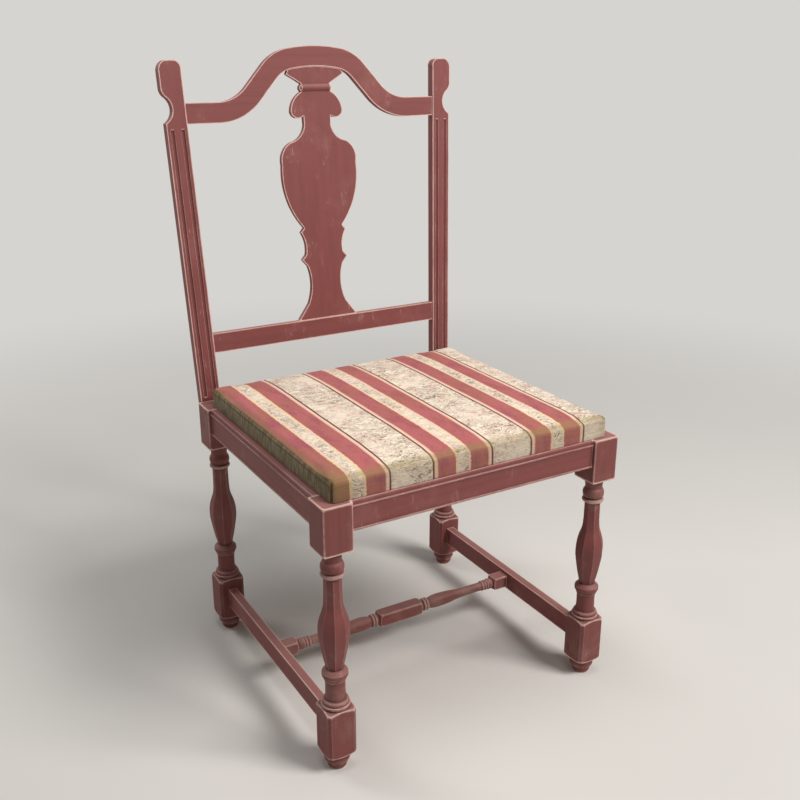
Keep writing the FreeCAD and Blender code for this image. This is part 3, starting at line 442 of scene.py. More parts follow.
def striped_cloth(name):
    """Woven stripes that follow the cloth, with veined pale bands and soiled rims."""
    finish = Finish(name)
    cloth = finish.node("ShaderNodeAttribute", {"attribute_name": "cloth"}, out="Vector")
    # A mark of dirt and painted shade that laid_cloth writes on the cushion
    soil_and_shade = finish.node("ShaderNodeAttribute", {"attribute_name": "soil_and_shade"}, out="Fac")
    across, along = finish.parts(cloth)[:2]
    mottle = finish.cloud(cloth, MOTTLES, 4.0, 0.6, 0.5)
    patches = finish.cloud(cloth, PATCHES, 4.0, 0.6)
    hairs = finish.cloud(finish.stretched(cloth, HAIRS), 1.0, 3.0, 0.7, 1.0)
    bleeds = finish.cloud(finish.stretched(cloth, BLEEDS), 1.0, 4.0, 0.65)
    drips = finish.cloud(finish.stretched(cloth, DRIPS), 1.0, 3.0, 0.6)
    pale = pale_ground(finish, cloth, mottle, patches)
    rose = rose_ground(finish, patches, bleeds, hairs)
    gold = finish.mixed(GOLD_LINE, PINK_CREAM, bleeds.rise(0.42, 0.6) * 0.7)
    edging = finish.mixed(YELLOW_CREAM, PINK_CREAM, mottle.rise(0.4, 0.62) * 0.8)
    base = stripes(finish, cloth, across, pale, rose, gold, edging)
    # Grime from the mark of dirt and painted shade
    grime_and_shade = (soil_and_shade * (0.25 + 0.7 * drips + 0.8 * patches)).clamped()
    base = soiled_and_shaded(finish, base, across, soil_and_shade, drips, grime_and_shade)
    weft = along.math("SINE", along * THREADS)
    warp = across.math("SINE", across * THREADS)
    weave = finish.bump(weft * warp * 0.5 + hairs * 0.8, 0.22, WEAVE_RELIEF)
    return finish.close(base, 0.86 + 0.1 * grime_and_shade, weave, **{
        "Sheen Weight": 0.1, "Sheen Roughness": 0.5, "Specular IOR Level": 0.25})


PAINT_UPRIGHT = painted_wood("rose_paint_upright", 2)
PAINT_ACROSS = painted_wood("rose_paint_across", 0)
PAINT_DEEP = painted_wood("rose_paint_front_to_back", 1)
PAINT_TURNED = painted_wood("rose_paint_turned", 2, 0.45, 0.55, GREYED_PAINT, 0.0044)
PAINT_SPUN = painted_wood("rose_paint_spun", 0, 0.35, 1.0, GREYED_PAINT, 0.0038)
BARE_DEEP = bare_wood("bare_wood_front_to_back", 1)
BARE_ACROSS = bare_wood("bare_wood_across", 0)
STEEL = dull_steel("dull_steel")
CLOTH = striped_cloth("striped_cloth")

# Solids that keep their shape and get a finish
for finish, names in {
    PAINT_UPRIGHT: ("back_post_left", "back_post_right", "splat"),
    PAINT_ACROSS: ("crest_rail", "cross_rail", "front_seat_rail", "rear_seat_rail"),
    PAINT_DEEP: ("left_seat_rail", "right_seat_rail", "left_side_stretcher", "right_side_stretcher"),
    BARE_ACROSS: ("corner_block_front_left", "corner_block_front_right",
                  "corner_block_rear_left", "corner_block_rear_right"),
    BARE_DEEP: ("seat_board", "left_seat_batten", "right_seat_batten"),
}.items():
    for name in names:
        slots = nodes[name].data.materials
        slots.clear()
        slots.append(finish)

# Turnings: legs and medial stretcher, with FREE as a radius beyond any stock, where nothing is cut
LEG_STOCK = 0.044
LEG_SIDES = 128
LEG_LOWER_CORNER = 4.0
LEG_UPPER_CORNER = 1.2
MEDIAL_STOCK = 0.022
MEDIAL_SIDES = 96
MEDIAL_CORNER = 1.0
MILLIMETRE = 0.001
FREE = 1.0
WELD = 0.00001
CRISP_TURNING = math.radians(26)
TURNING_VALUES = ("turned", "flats", "corner")
Row = namedtuple("Row", ("height", *TURNING_VALUES))


def turned_stock_tree():
    """Square stock on a lathe: at each height the least of square, corner flat, eight flats and round."""
    shape = Shape("turned_stock", {"Sides": "Int", "Stock": "Float", "Finish": "Material"})
    stock = shape.given["Stock"]
    line = shape.node("GeometryNodeMeshToCurve", None, {"Mesh": shape.given["Geometry"]})
    ring = shape.node("GeometryNodeCurvePrimitiveCircle", {"mode": "RADIUS"},
                      {"Resolution": shape.given["Sides"], "Radius": 1.0})
    tube = shape.node("GeometryNodeCurveToMesh", None, {"Curve": line, "Profile Curve": ring})
    x, y, z = shape.parts(shape.node("GeometryNodeInputPosition"))
    widest = abs(x).most(abs(y))
    corner = (abs(x) + abs(y)) / math.sqrt(2)
    square = stock * 0.5 / widest
    corner_flat = (stock - shape.carried("corner")) / math.sqrt(2) / corner
    eight_flats = shape.carried("flats") / widest.most(corner)
    reach = square.least(corner_flat).least(eight_flats).least(shape.carried("turned"))
    moved = shape.node("GeometryNodeSetPosition", None,
                       {"Geometry": tube, "Position": shape.joined(x * reach, y * reach, z)})
    welded = shape.node("GeometryNodeMergeByDistance", None, {"Geometry": moved, "Distance": WELD})
    return shape.close(welded)


def arc_through(start, middle, end, steps):
    """Points of the circle through three, from just after start up to end."""
    (ax, ay), (bx, by), (cx, cy) = start, middle, end
    turn = 2 * (ax * (by - cy) + bx * (cy - ay) + cx * (ay - by))
    squares = [px * px + py * py for px, py in (start, middle, end)]
    ux = (squares[0] * (by - cy) + squares[1] * (cy - ay) + squares[2] * (ay - by)) / turn
    uy = (squares[0] * (cx - bx) + squares[1] * (ax - cx) + squares[2] * (bx - ax)) / turn
    radius = math.hypot(ax - ux, ay - uy)
    first = math.atan2(ay - uy, ax - ux)
    sweep = (math.atan2(cy - uy, cx - ux) - first + math.pi) % (2 * math.pi) - math.pi
    angles = [first + sweep * step / steps for step in range(1, steps + 1)]
    return [(ux + radius * math.cos(angle), uy + radius * math.sin(angle)) for angle in angles]


def smooth_point(corners, t):
    """A point on the smooth line from the second of four corners, at t = 0, to the third, at t = 1."""
    weights = (-t + 2 * t ** 2 - t ** 3,
               2 - 5 * t ** 2 + 3 * t ** 3,
               t + 4 * t ** 2 - 3 * t ** 3,
               t ** 3 - t ** 2)
    return [sum(weight * corner[axis] for weight, corner in zip(weights, corners)) / 2 for axis in (0, 1)]


class Turning:
    """A lathe profile in millimetres: heights with the round, the eight flats and the corner there."""

    def __init__(self, corner):
        self.rows = []
        self.corner = corner

    def to(self, round_radius, height, flats=None):
        """Straight to the next point; without a radius the stock stays square or eight sided."""
        turned = FREE if round_radius is None else round_radius * MILLIMETRE
        faces = FREE if flats is None else flats * MILLIMETRE
        self.rows.append(Row(height * MILLIMETRE, turned, faces, self.corner * MILLIMETRE))
        return self

    def last(self, title):
        """The last row's radius or half width, and its height."""
        row = self.rows[-1]
        return getattr(row, title) / MILLIMETRE, row.height / MILLIMETRE

    def round(self, middle, end, steps=8):
        """Along an arc through a middle point, both as radius and height."""
        for radius, level in arc_through(self.last("turned"), middle, end, steps):
            self.to(radius, level)
        return self

    def flats(self, middle, end, steps=14):
        """Eight flats along an arc through a middle point, both as half width and height."""
        for half, level in arc_through(self.last("flats"), middle, end, steps):
            self.to(None, level, half)
        return self

    def flats_through(self, points, steps=5):
        """Eight flats along a smooth line through points, each a half width and a height."""
        start = self.last("flats")
        stops = [start, start, *points, points[-1]]
        for corners in zip(stops, stops[1:], stops[2:], stops[3:]):
            for step in range(1, steps + 1):
                half, level = smooth_point(corners, step / steps)
                self.to(None, level, half)
        return self

    def square(self, corner):
        """From here on the stock's corners are bevelled by this much."""
        self.corner = corner
        return self

    def line(self, name):
        """The profile as a mesh of edges that carries its values."""
        mesh = bpy.data.meshes.new(f"{name}_line")
        points = [(0.0, 0.0, row.height) for row in self.rows]
        mesh.from_pydata(points, [(i, i + 1) for i in range(len(points) - 1)], [])
        for title in TURNING_VALUES:
            values = mesh.attributes.new(title, "FLOAT", "POINT")
            values.data.foreach_set("value", [getattr(row, title) for row in self.rows])
        return mesh


def finished_turning(piece, placing):
    """Moves a turning to its place in the chair, points its faces out and keeps its crisp edges."""
    mesh = piece.data
    drop_values(mesh, TURNING_VALUES)
    mesh.transform(placing)
    work = bmesh.new()
    work.from_mesh(mesh)
    bmesh.ops.recalc_face_normals(work, faces=work.faces)
    work.to_mesh(mesh)
    work.free()
    mesh.shade_smooth()
    mesh.set_sharp_from_angle(angle=CRISP_TURNING)
    return piece


def leg_turning():
    """A leg from the floor up, each point as radius and height, or half width and height of the flats."""
    leg = Turning(LEG_LOWER_CORNER)
    # Foot
    leg.to(0.0, 0).to(11.5, 0).round((13.0, 0.6), (13.6, 2)).round((14.8, 6), (15.4, 10.2))
    leg.to(14.6, 10.8).to(14.6, 11.6).round((18.0, 13.2), (18.6, 17), 8).round((18.4, 21), (17.4, 24), 6)
    # Lower block between its rounded shoulders
    leg.to(17.2, 24.6).round((22.0, 25.6), (26.5, 27.2), 8).round((29.5, 28.8), (31.5, 31), 8)
    for level in (32, 50, 66, 82, 96):
        leg.to(None, level)
    leg.to(31.5, 96.5).round((29.0, 98.8), (26.0, 100.2), 8).round((23.5, 101.1), (20.8, 101.8), 8)
    # Base rings and shaft
    leg.to(20.4, 102.2).round((21.1, 104.6), (20.5, 107), 8).to(19.2, 107.4).to(18.6, 108.2)
    leg.round((18.8, 110.6), (17.6, 113.2), 8).to(16.0, 113.9).to(14.6, 114.3)
    leg.round((14.2, 129), (14.5, 144.2), 8).to(15.4, 144.6).round((16.2, 146.6), (15.7, 148.6), 6)
    # Collar
    leg.to(15.5, 149.2).to(17.4, 149.7).round((18.5, 152.2), (18.6, 155.4), 8)
    leg.to(18.6, 156.4).round((18.5, 157.4), (17.7, 158.2), 5).round((15.5, 160.8), (12.9, 162.6), 8)
    # Baluster with eight flats
    leg.to(None, 163.0, 11.25).flats((17.2, 192.3), (20.4, 214))
    leg.flats_through([(20.6, 222.6), (20.3, 230.5), (19.2, 238), (17.4, 245.5), (15.2, 252.3),
                       (13.4, 258.7), (12.5, 265.5), (12.1, 274), (11.9, 285), (11.8, 296), (11.75, 306)])
    # Ring, bulb and neck
    leg.to(12.7, 306.2).to(15.4, 306.5).round((16.75, 309.2), (15.6, 311.8), 8)
    leg.to(14.0, 312.2).to(13.4, 312.8)
    leg.round((16.4, 320.2), (13.6, 328.4), 14).to(13.0, 329.4).to(12.9, 330.6)
    leg.round((13.7, 337.5), (15.1, 344.6), 8)
    # Upper block
    leg.square(LEG_UPPER_CORNER).to(15.2, 345.6).to(31.4, 346.0)
    for level in (346.2, 360, 380, 400, 415.2):
        leg.to(None, level)
    return leg.to(31.0, 416).to(0.0, 416)


def medial_turning():
    """The medial stretcher from its middle to one end, and the same mirrored."""
    half = Turning(MEDIAL_CORNER)
    # Middle block and double ring
    half.to(None, 0).to(None, 20).to(None, 37).to(15.6, 37.2)
    half.round((13.2, 39.6), (10.0, 41.6), 8).to(8.6, 42.4).to(8.4, 45.4)
    half.to(9.9, 45.8).round((10.9, 47.9), (9.9, 50.0), 8).to(8.9, 50.4).to(9.9, 50.8)
    half.round((10.9, 53.0), (9.8, 55.2), 8).to(8.6, 55.6).to(8.4, 56.6)
    # Vase and its neck
    half.round((10.7, 66), (11.4, 77), 12).round((10.6, 95), (8.7, 112), 14)
    half.round((7.9, 122), (7.6, 134), 8).round((7.4, 150), (7.3, 166.4), 6)
    # Double ring and collar
    half.to(8.1, 166.9).round((8.9, 169.2), (8.1, 171.4), 6).to(7.7, 171.8).to(8.1, 172.2)
    half.round((8.9, 174.4), (8.1, 176.6), 6).to(7.5, 177.0).to(7.5, 178.0).to(8.8, 178.4)
    half.round((9.3, 183), (8.8, 187.6), 8).to(8.0, 188.2).to(8.2, 189.2)
    # End block
    half.round((11.7, 191.2), (15.6, 194.2), 10)
    half.to(None, 194.4).to(None, 206).to(None, 217.8).to(0.0, 217.8)
    whole = Turning(MEDIAL_CORNER)
    whole.rows = [row._replace(height=-row.height) for row in reversed(half.rows[1:])] + half.rows
    return whole


STOCK_TREE = turned_stock_tree()
leg_line = leg_turning().line("leg")
leg_values = {"Sides": LEG_SIDES, "Stock": LEG_STOCK, "Finish": PAINT_TURNED}
for name in ("front_leg_left", "front_leg_right", "rear_leg_left", "rear_leg_right"):
    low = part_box(name)[0]
    placing = Matrix.Translation((low.x + LEG_STOCK / 2, low.y + LEG_STOCK / 2, 0.0))
    leg = finished_turning(shaped(STOCK_TREE, leg_line, f"turned_{name}", leg_values), placing)
    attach(leg, "frame")
    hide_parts(name)
low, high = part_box("medial_stretcher")
placing = Matrix.Translation((low + high) / 2) @ Matrix.Rotation(math.pi / 2, 4, "Y")
medial_line = medial_turning().line("medial")
medial_values = {"Sides": MEDIAL_SIDES, "Stock": MEDIAL_STOCK, "Finish": PAINT_SPUN}
medial = shaped(STOCK_TREE, medial_line, "turned_medial_stretcher", medial_values)
medial = finished_turning(medial, placing)
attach(medial, "frame")
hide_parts("medial_stretcher")

# Loose seat, stuffed by a cloth simulation
SEAT_LOW, SEAT_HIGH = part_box("seat_cover")
SEAT_MIDDLE = (SEAT_LOW + SEAT_HIGH) / 2
SEAT_HALF_X = (SEAT_HIGH.x - SEAT_LOW.x) / 2
SEAT_HALF_Y = (SEAT_HIGH.y - SEAT_LOW.y) / 2
SEAT_EDGE_TOP = SEAT_LOW.z + 0.032
SEAT_CORNER = 0.007
SEAT_EDGE_ROUND = 0.006
SEAT_EDGE_STEPS = 5
SEAT_START_HEIGHT = 0.0312
SEAT_START_INSET = 0.0003
SEAT_FOOT = 0.003
SIDE_DRAW = 0.0012
SIDE_DRAW_FROM = 0.013
VOXEL = 0.0045
PRESSURE = 4.0
SWELL_FRAMES = 20
HELD_HEIGHT = 0.002
SWELL_AT_RIM = 0.0014
SWELL_IN_MIDDLE = 0.006
SWELL_REACH = 0.13
WALL_REACH = 0.016
MARGIN = 0.036
RECESS = 0.004
RECESS_WALL = 0.0004
FACING_DOWN = -0.9

# Tucked folds at the corners: sizes, then shares of the cushion's height and of a fold's depth
FOLD_DEPTH = 0.0024
FOLD_WIDTH = 0.0015
FOLD_PATCH = 0.024
FOLD_FROM = 0.004
FOLD_ABOVE = 0.001
FOLD_TOP = 0.97
FOLD_TOP_FADE = 0.25
FOLD_FOOT_FADE = 0.08
FOLD_LEAST = 0.01


def seat_outline(inset, draw, steps=8):
    """Rounded plan of the seat with its sides drawn in between the corners."""
    reach_x = SEAT_HALF_X - inset - SEAT_CORNER
    reach_y = SEAT_HALF_Y - inset - SEAT_CORNER
    bends = []
    for quarter, (sign_x, sign_y) in enumerate(((1, 1), (-1, 1), (-1, -1), (1, -1))):
        turns = [math.pi / 2 * (quarter + step / steps) for step in range(steps + 1)]
        bends.append([(SEAT_MIDDLE.x + sign_x * reach_x + SEAT_CORNER * math.cos(angle),
                       SEAT_MIDDLE.y + sign_y * reach_y + SEAT_CORNER * math.sin(angle))
                      for angle in turns])
    points = []
    for quarter, bend in enumerate(bends):
        start = Vector(bend[-1])
        end = Vector(bends[(quarter + 1) % 4][0])
        way = math.pi / 2 * (quarter + 1)
        outward = Vector((math.cos(way), math.sin(way)))
        points += bend
        for step in range(1, steps):
            share = step / steps
            points.append(tuple(start.lerp(end, share) - outward * draw * math.sin(math.pi * share)))
    return points


def seat_block():
    """The cushion before stuffing: a block with a rounded top edge, a little smaller than the seat."""
    rows = [(0.0, -SEAT_FOOT, 0.0), (0.0, SIDE_DRAW_FROM, 0.0)]
    for step in range(SEAT_EDGE_STEPS + 1):
        angle = math.pi / 2 * step / SEAT_EDGE_STEPS
        inset = SEAT_EDGE_ROUND * (1 - math.cos(angle))
        rows.append((inset, SEAT_START_HEIGHT - SEAT_EDGE_ROUND * (1 - math.sin(angle)), SIDE_DRAW))
    work = bmesh.new()
    rims = []
    for inset, height, draw in rows:
        plan = seat_outline(SEAT_START_INSET + inset, draw)
        rims.append([work.verts.new((x, y, SEAT_LOW.z + height)) for x, y in plan])
    work.faces.new(reversed(rims[0]))
    work.faces.new(rims[-1])
    for lower, upper in zip(rims, rims[1:]):
        for index in range(len(lower)):
            after = (index + 1) % len(lower)
            work.faces.new((lower[index], lower[after], upper[after], upper[index]))
    mesh = bpy.data.meshes.new("seat_block")
    work.to_mesh(mesh)
    work.free()
    return mesh


def rim_distances(point):
    """How far inside the seat's sides and ends a point is."""
    to_side = SEAT_HALF_X - abs(point.x - SEAT_MIDDLE.x)
    to_end = SEAT_HALF_Y - abs(point.y - SEAT_MIDDLE.y)
    return to_side, to_end


def held_out(rest, shift):
    """Keeps the walls of the cushion from being drawn in as its top swells."""
    to_side, to_end = rim_distances(rest)
    if to_side < WALL_REACH and shift.x * (rest.x - SEAT_MIDDLE.x) < 0:
        shift.x = 0.0
    if to_end < WALL_REACH and shift.y * (rest.y - SEAT_MIDDLE.y) < 0:
        shift.y = 0.0
    return shift


def swell_limit(point):
    """How far the stuffing may push a point: least at the rim, most in the middle."""
    share = unit(min(rim_distances(point)) / SWELL_REACH)
    return SWELL_AT_RIM + (SWELL_IN_MIDDLE - SWELL_AT_RIM) * math.sin(share * math.pi / 2)


def stuffed(block):
    """Blows the block up from inside, its bottom held to the board."""
    scene = bpy.context.scene
    group = block.vertex_groups.new(name="held")
    held = [v.index for v in block.data.vertices if v.co.z < SEAT_LOW.z + HELD_HEIGHT]
    group.add(held, 1.0, "REPLACE")
    start = [v.co.copy() for v in block.data.vertices]
    cloth = block.modifiers.new("stuffing", "CLOTH")
    cloth.settings.vertex_group_mass = "held"
    cloth.settings.use_pressure = True
    cloth.settings.uniform_pressure_force = PRESSURE
    cloth.settings.effector_weights.gravity = 0.0
    for step in range(1, SWELL_FRAMES + 1):
        scene.frame_set(step)
    moved = modified_mesh(block)
    block.modifiers.remove(cloth)
    block.vertex_groups.clear()
    for vertex, rest, after in zip(block.data.vertices, start, moved.vertices):
        shift = held_out(rest, after.co - rest)
        limit = swell_limit(rest)
        if shift.length > limit:
            shift *= limit / shift.length
        vertex.co = rest + shift
    bpy.data.meshes.remove(moved)
    scene.frame_set(1)


def opened_below(mesh):
    """Leaves the cloth as a margin under the board: the rest of the bottom goes up out of sight."""
    work = bmesh.new()
    work.from_mesh(mesh)
    inner_x = SEAT_HIGH.x - SEAT_MIDDLE.x - MARGIN
    inner_y = SEAT_HIGH.y - SEAT_MIDDLE.y - MARGIN

    def under_board(face):
        place = face.calc_center_median() - SEAT_MIDDLE
        return face.normal.z < FACING_DOWN and abs(place.x) < inner_x and abs(place.y) < inner_y

    work.normal_update()
    inside = [face for face in work.faces if under_board(face)]
    bmesh.ops.inset_region(work, faces=inside, thickness=RECESS_WALL, depth=-RECESS, use_even_offset=True)
    work.to_mesh(mesh)
    work.free()


def corner_centres():
    """The middle of each rounded corner, with the way out of it."""
    half_x = SEAT_HALF_X - SEAT_CORNER
    half_y = SEAT_HALF_Y - SEAT_CORNER
    for sign_x in (-1, 1):
        for sign_y in (-1, 1):
            middle = Vector((SEAT_MIDDLE.x + sign_x * half_x, SEAT_MIDDLE.y + sign_y * half_y))
            yield middle, Vector((sign_x, sign_y)).normalized()


def fold_depth(point):
    """How deep the tucked fold of a corner is at a point, and the way out of that corner."""
    for middle, outward in corner_centres():
        away = point.xy - middle
        reach = away.dot(outward)
        aside = abs(away.x * outward.y - away.y * outward.x)
        if reach > FOLD_FROM and aside < FOLD_PATCH:
            height = (point.z - SEAT_LOW.z) / (SEAT_EDGE_TOP - SEAT_LOW.z)
            level = unit((FOLD_TOP - height) / FOLD_TOP_FADE) * unit(height / FOLD_FOOT_FADE)
            return level * hump(aside, 0.0, FOLD_WIDTH), outward
    return 0.0, None


def folded_corners(mesh):
    """Tucks a fold of cloth into each corner, on a finer patch of the mesh."""
    work = bmesh.new()
    work.from_mesh(mesh)

    def in_patch(edge):
        spot = (edge.verts[0].co + edge.verts[1].co) / 2
        above = spot.z > SEAT_LOW.z + FOLD_ABOVE
        return above and any((spot.xy - middle).length < FOLD_PATCH for middle, outward in corner_centres())

    near = [edge for edge in work.edges if in_patch(edge)]
    bmesh.ops.subdivide_edges(work, edges=near, cuts=1, use_grid_fill=True)
    for vertex in work.verts:
        share, outward = fold_depth(vertex.co)
        if share > FOLD_LEAST:
            tuck = outward * share * FOLD_DEPTH
            vertex.co -= Vector((tuck.x, tuck.y, 0.0))
    work.to_mesh(mesh)
    work.free()


# Dirt and painted shade on the cushion: where each lies and how wide it is, then how much of it
FRONT_RIM_AT = 0.004
FRONT_RIM_WIDTH = 0.010
FRONT_RIM_DROP = 0.02
SIDE_RIM_AT = 0.001
SIDE_RIM_WIDTH = 0.004
LEFT_CORNER_WIDTH = 0.036
RIGHT_CORNER_WIDTH = 0.03
FRONT_RIM_SOIL = 0.75
# The walls' amounts hold painted shade as well as dirt, the left wall most
FRONT_SOIL_AND_SHADE = 0.12
SIDE_RIM_SOIL = 0.55
LEFT_SOIL_AND_SHADE = 0.95
BACK_SOIL_AND_SHADE = 0.6
RIGHT_SOIL_AND_SHADE = 0.55
CORNER_SOIL = 0.7
RIGHT_CORNER_SHARE = 0.6
# Painted shade in the corner folds
FOLD_SHADE = 0.6


def soil_and_shade_at(point, normal, drop):
    """How soiled the cushion is at a point that lies a drop below its top edge, with painted shade added on
    its walls and in its corner folds.
    """
    place = point - SEAT_MIDDLE
    half_x = SEAT_HIGH.x - SEAT_MIDDLE.x
    half_y = SEAT_HIGH.y - SEAT_MIDDLE.y
    to_left = place.x + half_x
    to_right = half_x - place.x
    to_front = place.y + half_y
    to_back = half_y - place.y
    left_face = max(0.0, -normal.x) ** 2
    right_face = max(0.0, normal.x) ** 2
    front_face = max(0.0, -normal.y) ** 2
    back_face = max(0.0, normal.y) ** 2
    front_rim = hump(to_front - drop, FRONT_RIM_AT, FRONT_RIM_WIDTH) * math.exp(-drop / FRONT_RIM_DROP)
    side_way = min(to_left, to_right, to_back) - drop
    side_rim = hump(side_way, SIDE_RIM_AT, SIDE_RIM_WIDTH) * (1 - front_face)
    left_corner = hump(math.hypot(to_left, to_front), 0.0, LEFT_CORNER_WIDTH)
    right_corner = hump(math.hypot(to_right, to_front), 0.0, RIGHT_CORNER_WIDTH)
    corner = left_corner + RIGHT_CORNER_SHARE * right_corner
    # The walls darker than the top, the left wall most: dirt and painted shade
    amount = FRONT_RIM_SOIL * front_rim + FRONT_SOIL_AND_SHADE * front_face + SIDE_RIM_SOIL * side_rim
    amount += LEFT_SOIL_AND_SHADE * left_face + BACK_SOIL_AND_SHADE * back_face + RIGHT_SOIL_AND_SHADE * right_face
    # Painted shade in the tucked corner folds
    amount = max(amount, CORNER_SOIL * min(1.0, corner)) + FOLD_SHADE * fold_depth(point)[0]
    return min(1.0, amount)


def wall_share(part):
    """0 on the cushion's top and 1 on a wall, by one part of the way that the surface faces."""
    return unit(abs(part) * 1.6 - 0.3)


def laid_cloth(mesh):
    """Writes where each point lies on the unrolled cloth, and how soiled it is there, with the painted
    shade on the walls and in the folds.
    """
    laid = []
    soil_and_shade = []
    normals = [corner.vector for corner in mesh.vertex_normals]
    for vertex, normal in zip(mesh.vertices, normals):
        place = vertex.co - SEAT_MIDDLE
        drop = max(0.0, SEAT_EDGE_TOP - vertex.co.z)
        across = vertex.co.x + math.copysign(drop * wall_share(normal.x), place.x)
        along = vertex.co.y + math.copysign(drop * wall_share(normal.y), place.y)
        laid += (across, along, 0.0)
        soil_and_shade.append(soil_and_shade_at(vertex.co, normal, drop))
    mesh.attributes.new("cloth", "FLOAT_VECTOR", "POINT").data.foreach_set("vector", laid)
    mesh.attributes.new("soil_and_shade", "FLOAT", "POINT").data.foreach_set("value", soil_and_shade)


def make_seat():
    """The cushion: voxels of the block, stuffed, opened below, smoothed and tucked at the corners."""
    block = linked("seat_block", seat_block())
    remesh = block.modifiers.new("voxels", "REMESH")
    remesh.mode = "VOXEL"
    remesh.voxel_size = VOXEL
    block = flat_copy(block, "seat_voxels")
    stuffed(block)
    for vertex in block.data.vertices:
        vertex.co.z = max(vertex.co.z, SEAT_LOW.z)
    opened_below(block.data)
    smooth = block.modifiers.new("smooth", "SUBSURF")
    smooth.levels = 1
    smooth.render_levels = 1
    seat = flat_copy(block, "stuffed_seat")
    mesh = seat.data
    folded_corners(mesh)
    mesh.shade_smooth()
    laid_cloth(mesh)
    mesh.materials.clear()
    mesh.materials.append(CLOTH)
    return seat


seat = make_seat()
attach(seat, "loose_seat")
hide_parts("seat_cover", "seat_pad")

# Screws and staples
SCREW_HEAD = 0.0042
BLOCK_SCREW_ASIDE = 0.019
BLOCK_SCREW_TURNS = (0.5, 1.9)
POST_SCREW_IN = 0.0353
POST_SCREW_LEVELS = (0.398, 0.366)
POST_SCREW_SPREAD = 40
RAY_START = 0.1
STAPLE = 0.010
STAPLE_WIRE = 0.0006
STAPLE_STEP = 0.026
STAPLE_IN = 0.0245
STAPLE_LEAN = 0.12
CROSSWAYS_GAP = 0.03
LENGTHWAYS_GAP = 0.02
BATTEN_GAP = 0.01
CRISP_STEEL = math.radians(35)


def fastener_tree(name, head):
    """Small steel heads set on points, each turned to the way its point faces."""
    shape = Shape(name, {"Size": "Float", "Finish": "Material"})
    points = shape.node("GeometryNodeMeshToPoints", None, {"Mesh": shape.given["Geometry"]})
    upright = shape.node("FunctionNodeAlignRotationToVector", {"axis": "Z"},
                         {"Vector": shape.carried("facing", "FLOAT_VECTOR")})
    turned = shape.node("FunctionNodeAlignRotationToVector", {"axis": "X", "pivot_axis": "Z"},
                        {"Rotation": upright, "Vector": shape.carried("slot_way", "FLOAT_VECTOR")})
    instance = head(shape, shape.given["Size"])
    return shape.close(shape.node("GeometryNodeInstanceOnPoints", None,
                                  {"Points": points, "Instance": instance, "Rotation": turned}))


def slotted_head(shape, size):
    """A low domed screw head with a driver slot, standing a little proud of its point."""
    dome = shape.node("GeometryNodeMeshUVSphere", None, {"Segments": 32, "Rings": 24, "Radius": size})
    low = shape.node("GeometryNodeTransform", None, {"Geometry": dome, "Scale": (1.0, 1.0, 0.3)})
    slot_size = shape.joined(size * 3, size * 0.26, size * 0.3)
    slot = shape.node("GeometryNodeMeshCube", None, {"Size": slot_size})
    raised = shape.node("GeometryNodeTransform", None,
                        {"Geometry": slot, "Translation": shape.joined(0.0, 0.0, size * 0.28)})
    return shape.node("GeometryNodeMeshBoolean", {"operation": "DIFFERENCE", "solver": "EXACT"},
                      {"Mesh 1": low, "Mesh 2": raised})


def staple_back(shape, size):
    """The crown of a staple, nearly flush with the cloth."""
    start = shape.joined(size * -0.5, 0.0, 0.0)
    end = shape.joined(size * 0.5, 0.0, 0.0)
    line = shape.node("GeometryNodeCurvePrimitiveLine", None, {"Start": start, "End": end})
    wire = shape.node("GeometryNodeCurvePrimitiveCircle", {"mode": "RADIUS"},
                      {"Resolution": 8, "Radius": STAPLE_WIRE})
    crown = shape.node("GeometryNodeCurveToMesh", None,
                       {"Curve": line, "Profile Curve": wire, "Fill Caps": True})
    return shape.node("GeometryNodeTransform", None, {"Geometry": crown, "Scale": (1.0, 1.0, 0.33)})


def spots(name, places):
    """A mesh of points, each with the way it faces and the way its slot runs."""
    mesh = bpy.data.meshes.new(name)
    mesh.from_pydata([place for place, facing, slot_way in places], [], [])
    for column, title in ((1, "facing"), (2, "slot_way")):
        values = [number for place in places for number in place[column]]
        mesh.attributes.new(title, "FLOAT_VECTOR", "POINT").data.foreach_set("vector", values)
    return mesh


def fixed(tree, name, places, size, body):
    """One piece with all the fasteners of a kind, which rides on a body."""
    piece = shaped(tree, spots(f"{name}_spots", places), name, {"Size": size, "Finish": STEEL})
    drop_values(piece.data, ("facing", "slot_way"))
    piece.data.shade_smooth()
    piece.data.set_sharp_from_angle(angle=CRISP_STEEL)
    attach(piece, body)


def brace_screws():
    """Two screws in the inner face of each corner block."""
    places = []
    for corner, sign_x, sign_y in (("front_left", 1, 1), ("front_right", -1, 1),
                                   ("rear_left", 1, -1), ("rear_right", -1, -1)):
        low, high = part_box(f"corner_block_{corner}")
        facing = Vector((sign_x, sign_y, 0.0)).normalized()
        sideways = Vector((-facing.y, facing.x, 0.0))
        for side, turn in zip((-1, 1), BLOCK_SCREW_TURNS):
            slot_way = sideways * math.cos(turn + sign_x) + Vector((0.0, 0.0, math.sin(turn + sign_x)))
            spot = (low + high) / 2 + sideways * side * BLOCK_SCREW_ASIDE
            places.append((spot, facing, slot_way))
    return places


def post_screws():
    """Two screws in the back of each post, where it lies against its leg."""
    places = []
    for name, turn in (("back_post_left", 0.4), ("back_post_right", 1.1)):
        low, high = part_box(name)
        middle = low.x + POST_SCREW_IN if low.x < 0 else high.x - POST_SCREW_IN
        for level in POST_SCREW_LEVELS:
            behind = Vector((middle, high.y + RAY_START, level))
            place, facing = nodes[name].ray_cast(behind, Vector((0, -1, 0)))[1:3]
            angle = turn + level * POST_SCREW_SPREAD
            places.append((place, facing, Vector((math.cos(angle), 0.0, math.sin(angle)))))
    return places


def staple_numbers(half, gap):
    """The staples of a row, counted from its middle."""
    count = int((half - gap) / STAPLE_STEP)
    return range(-count, count + 1)


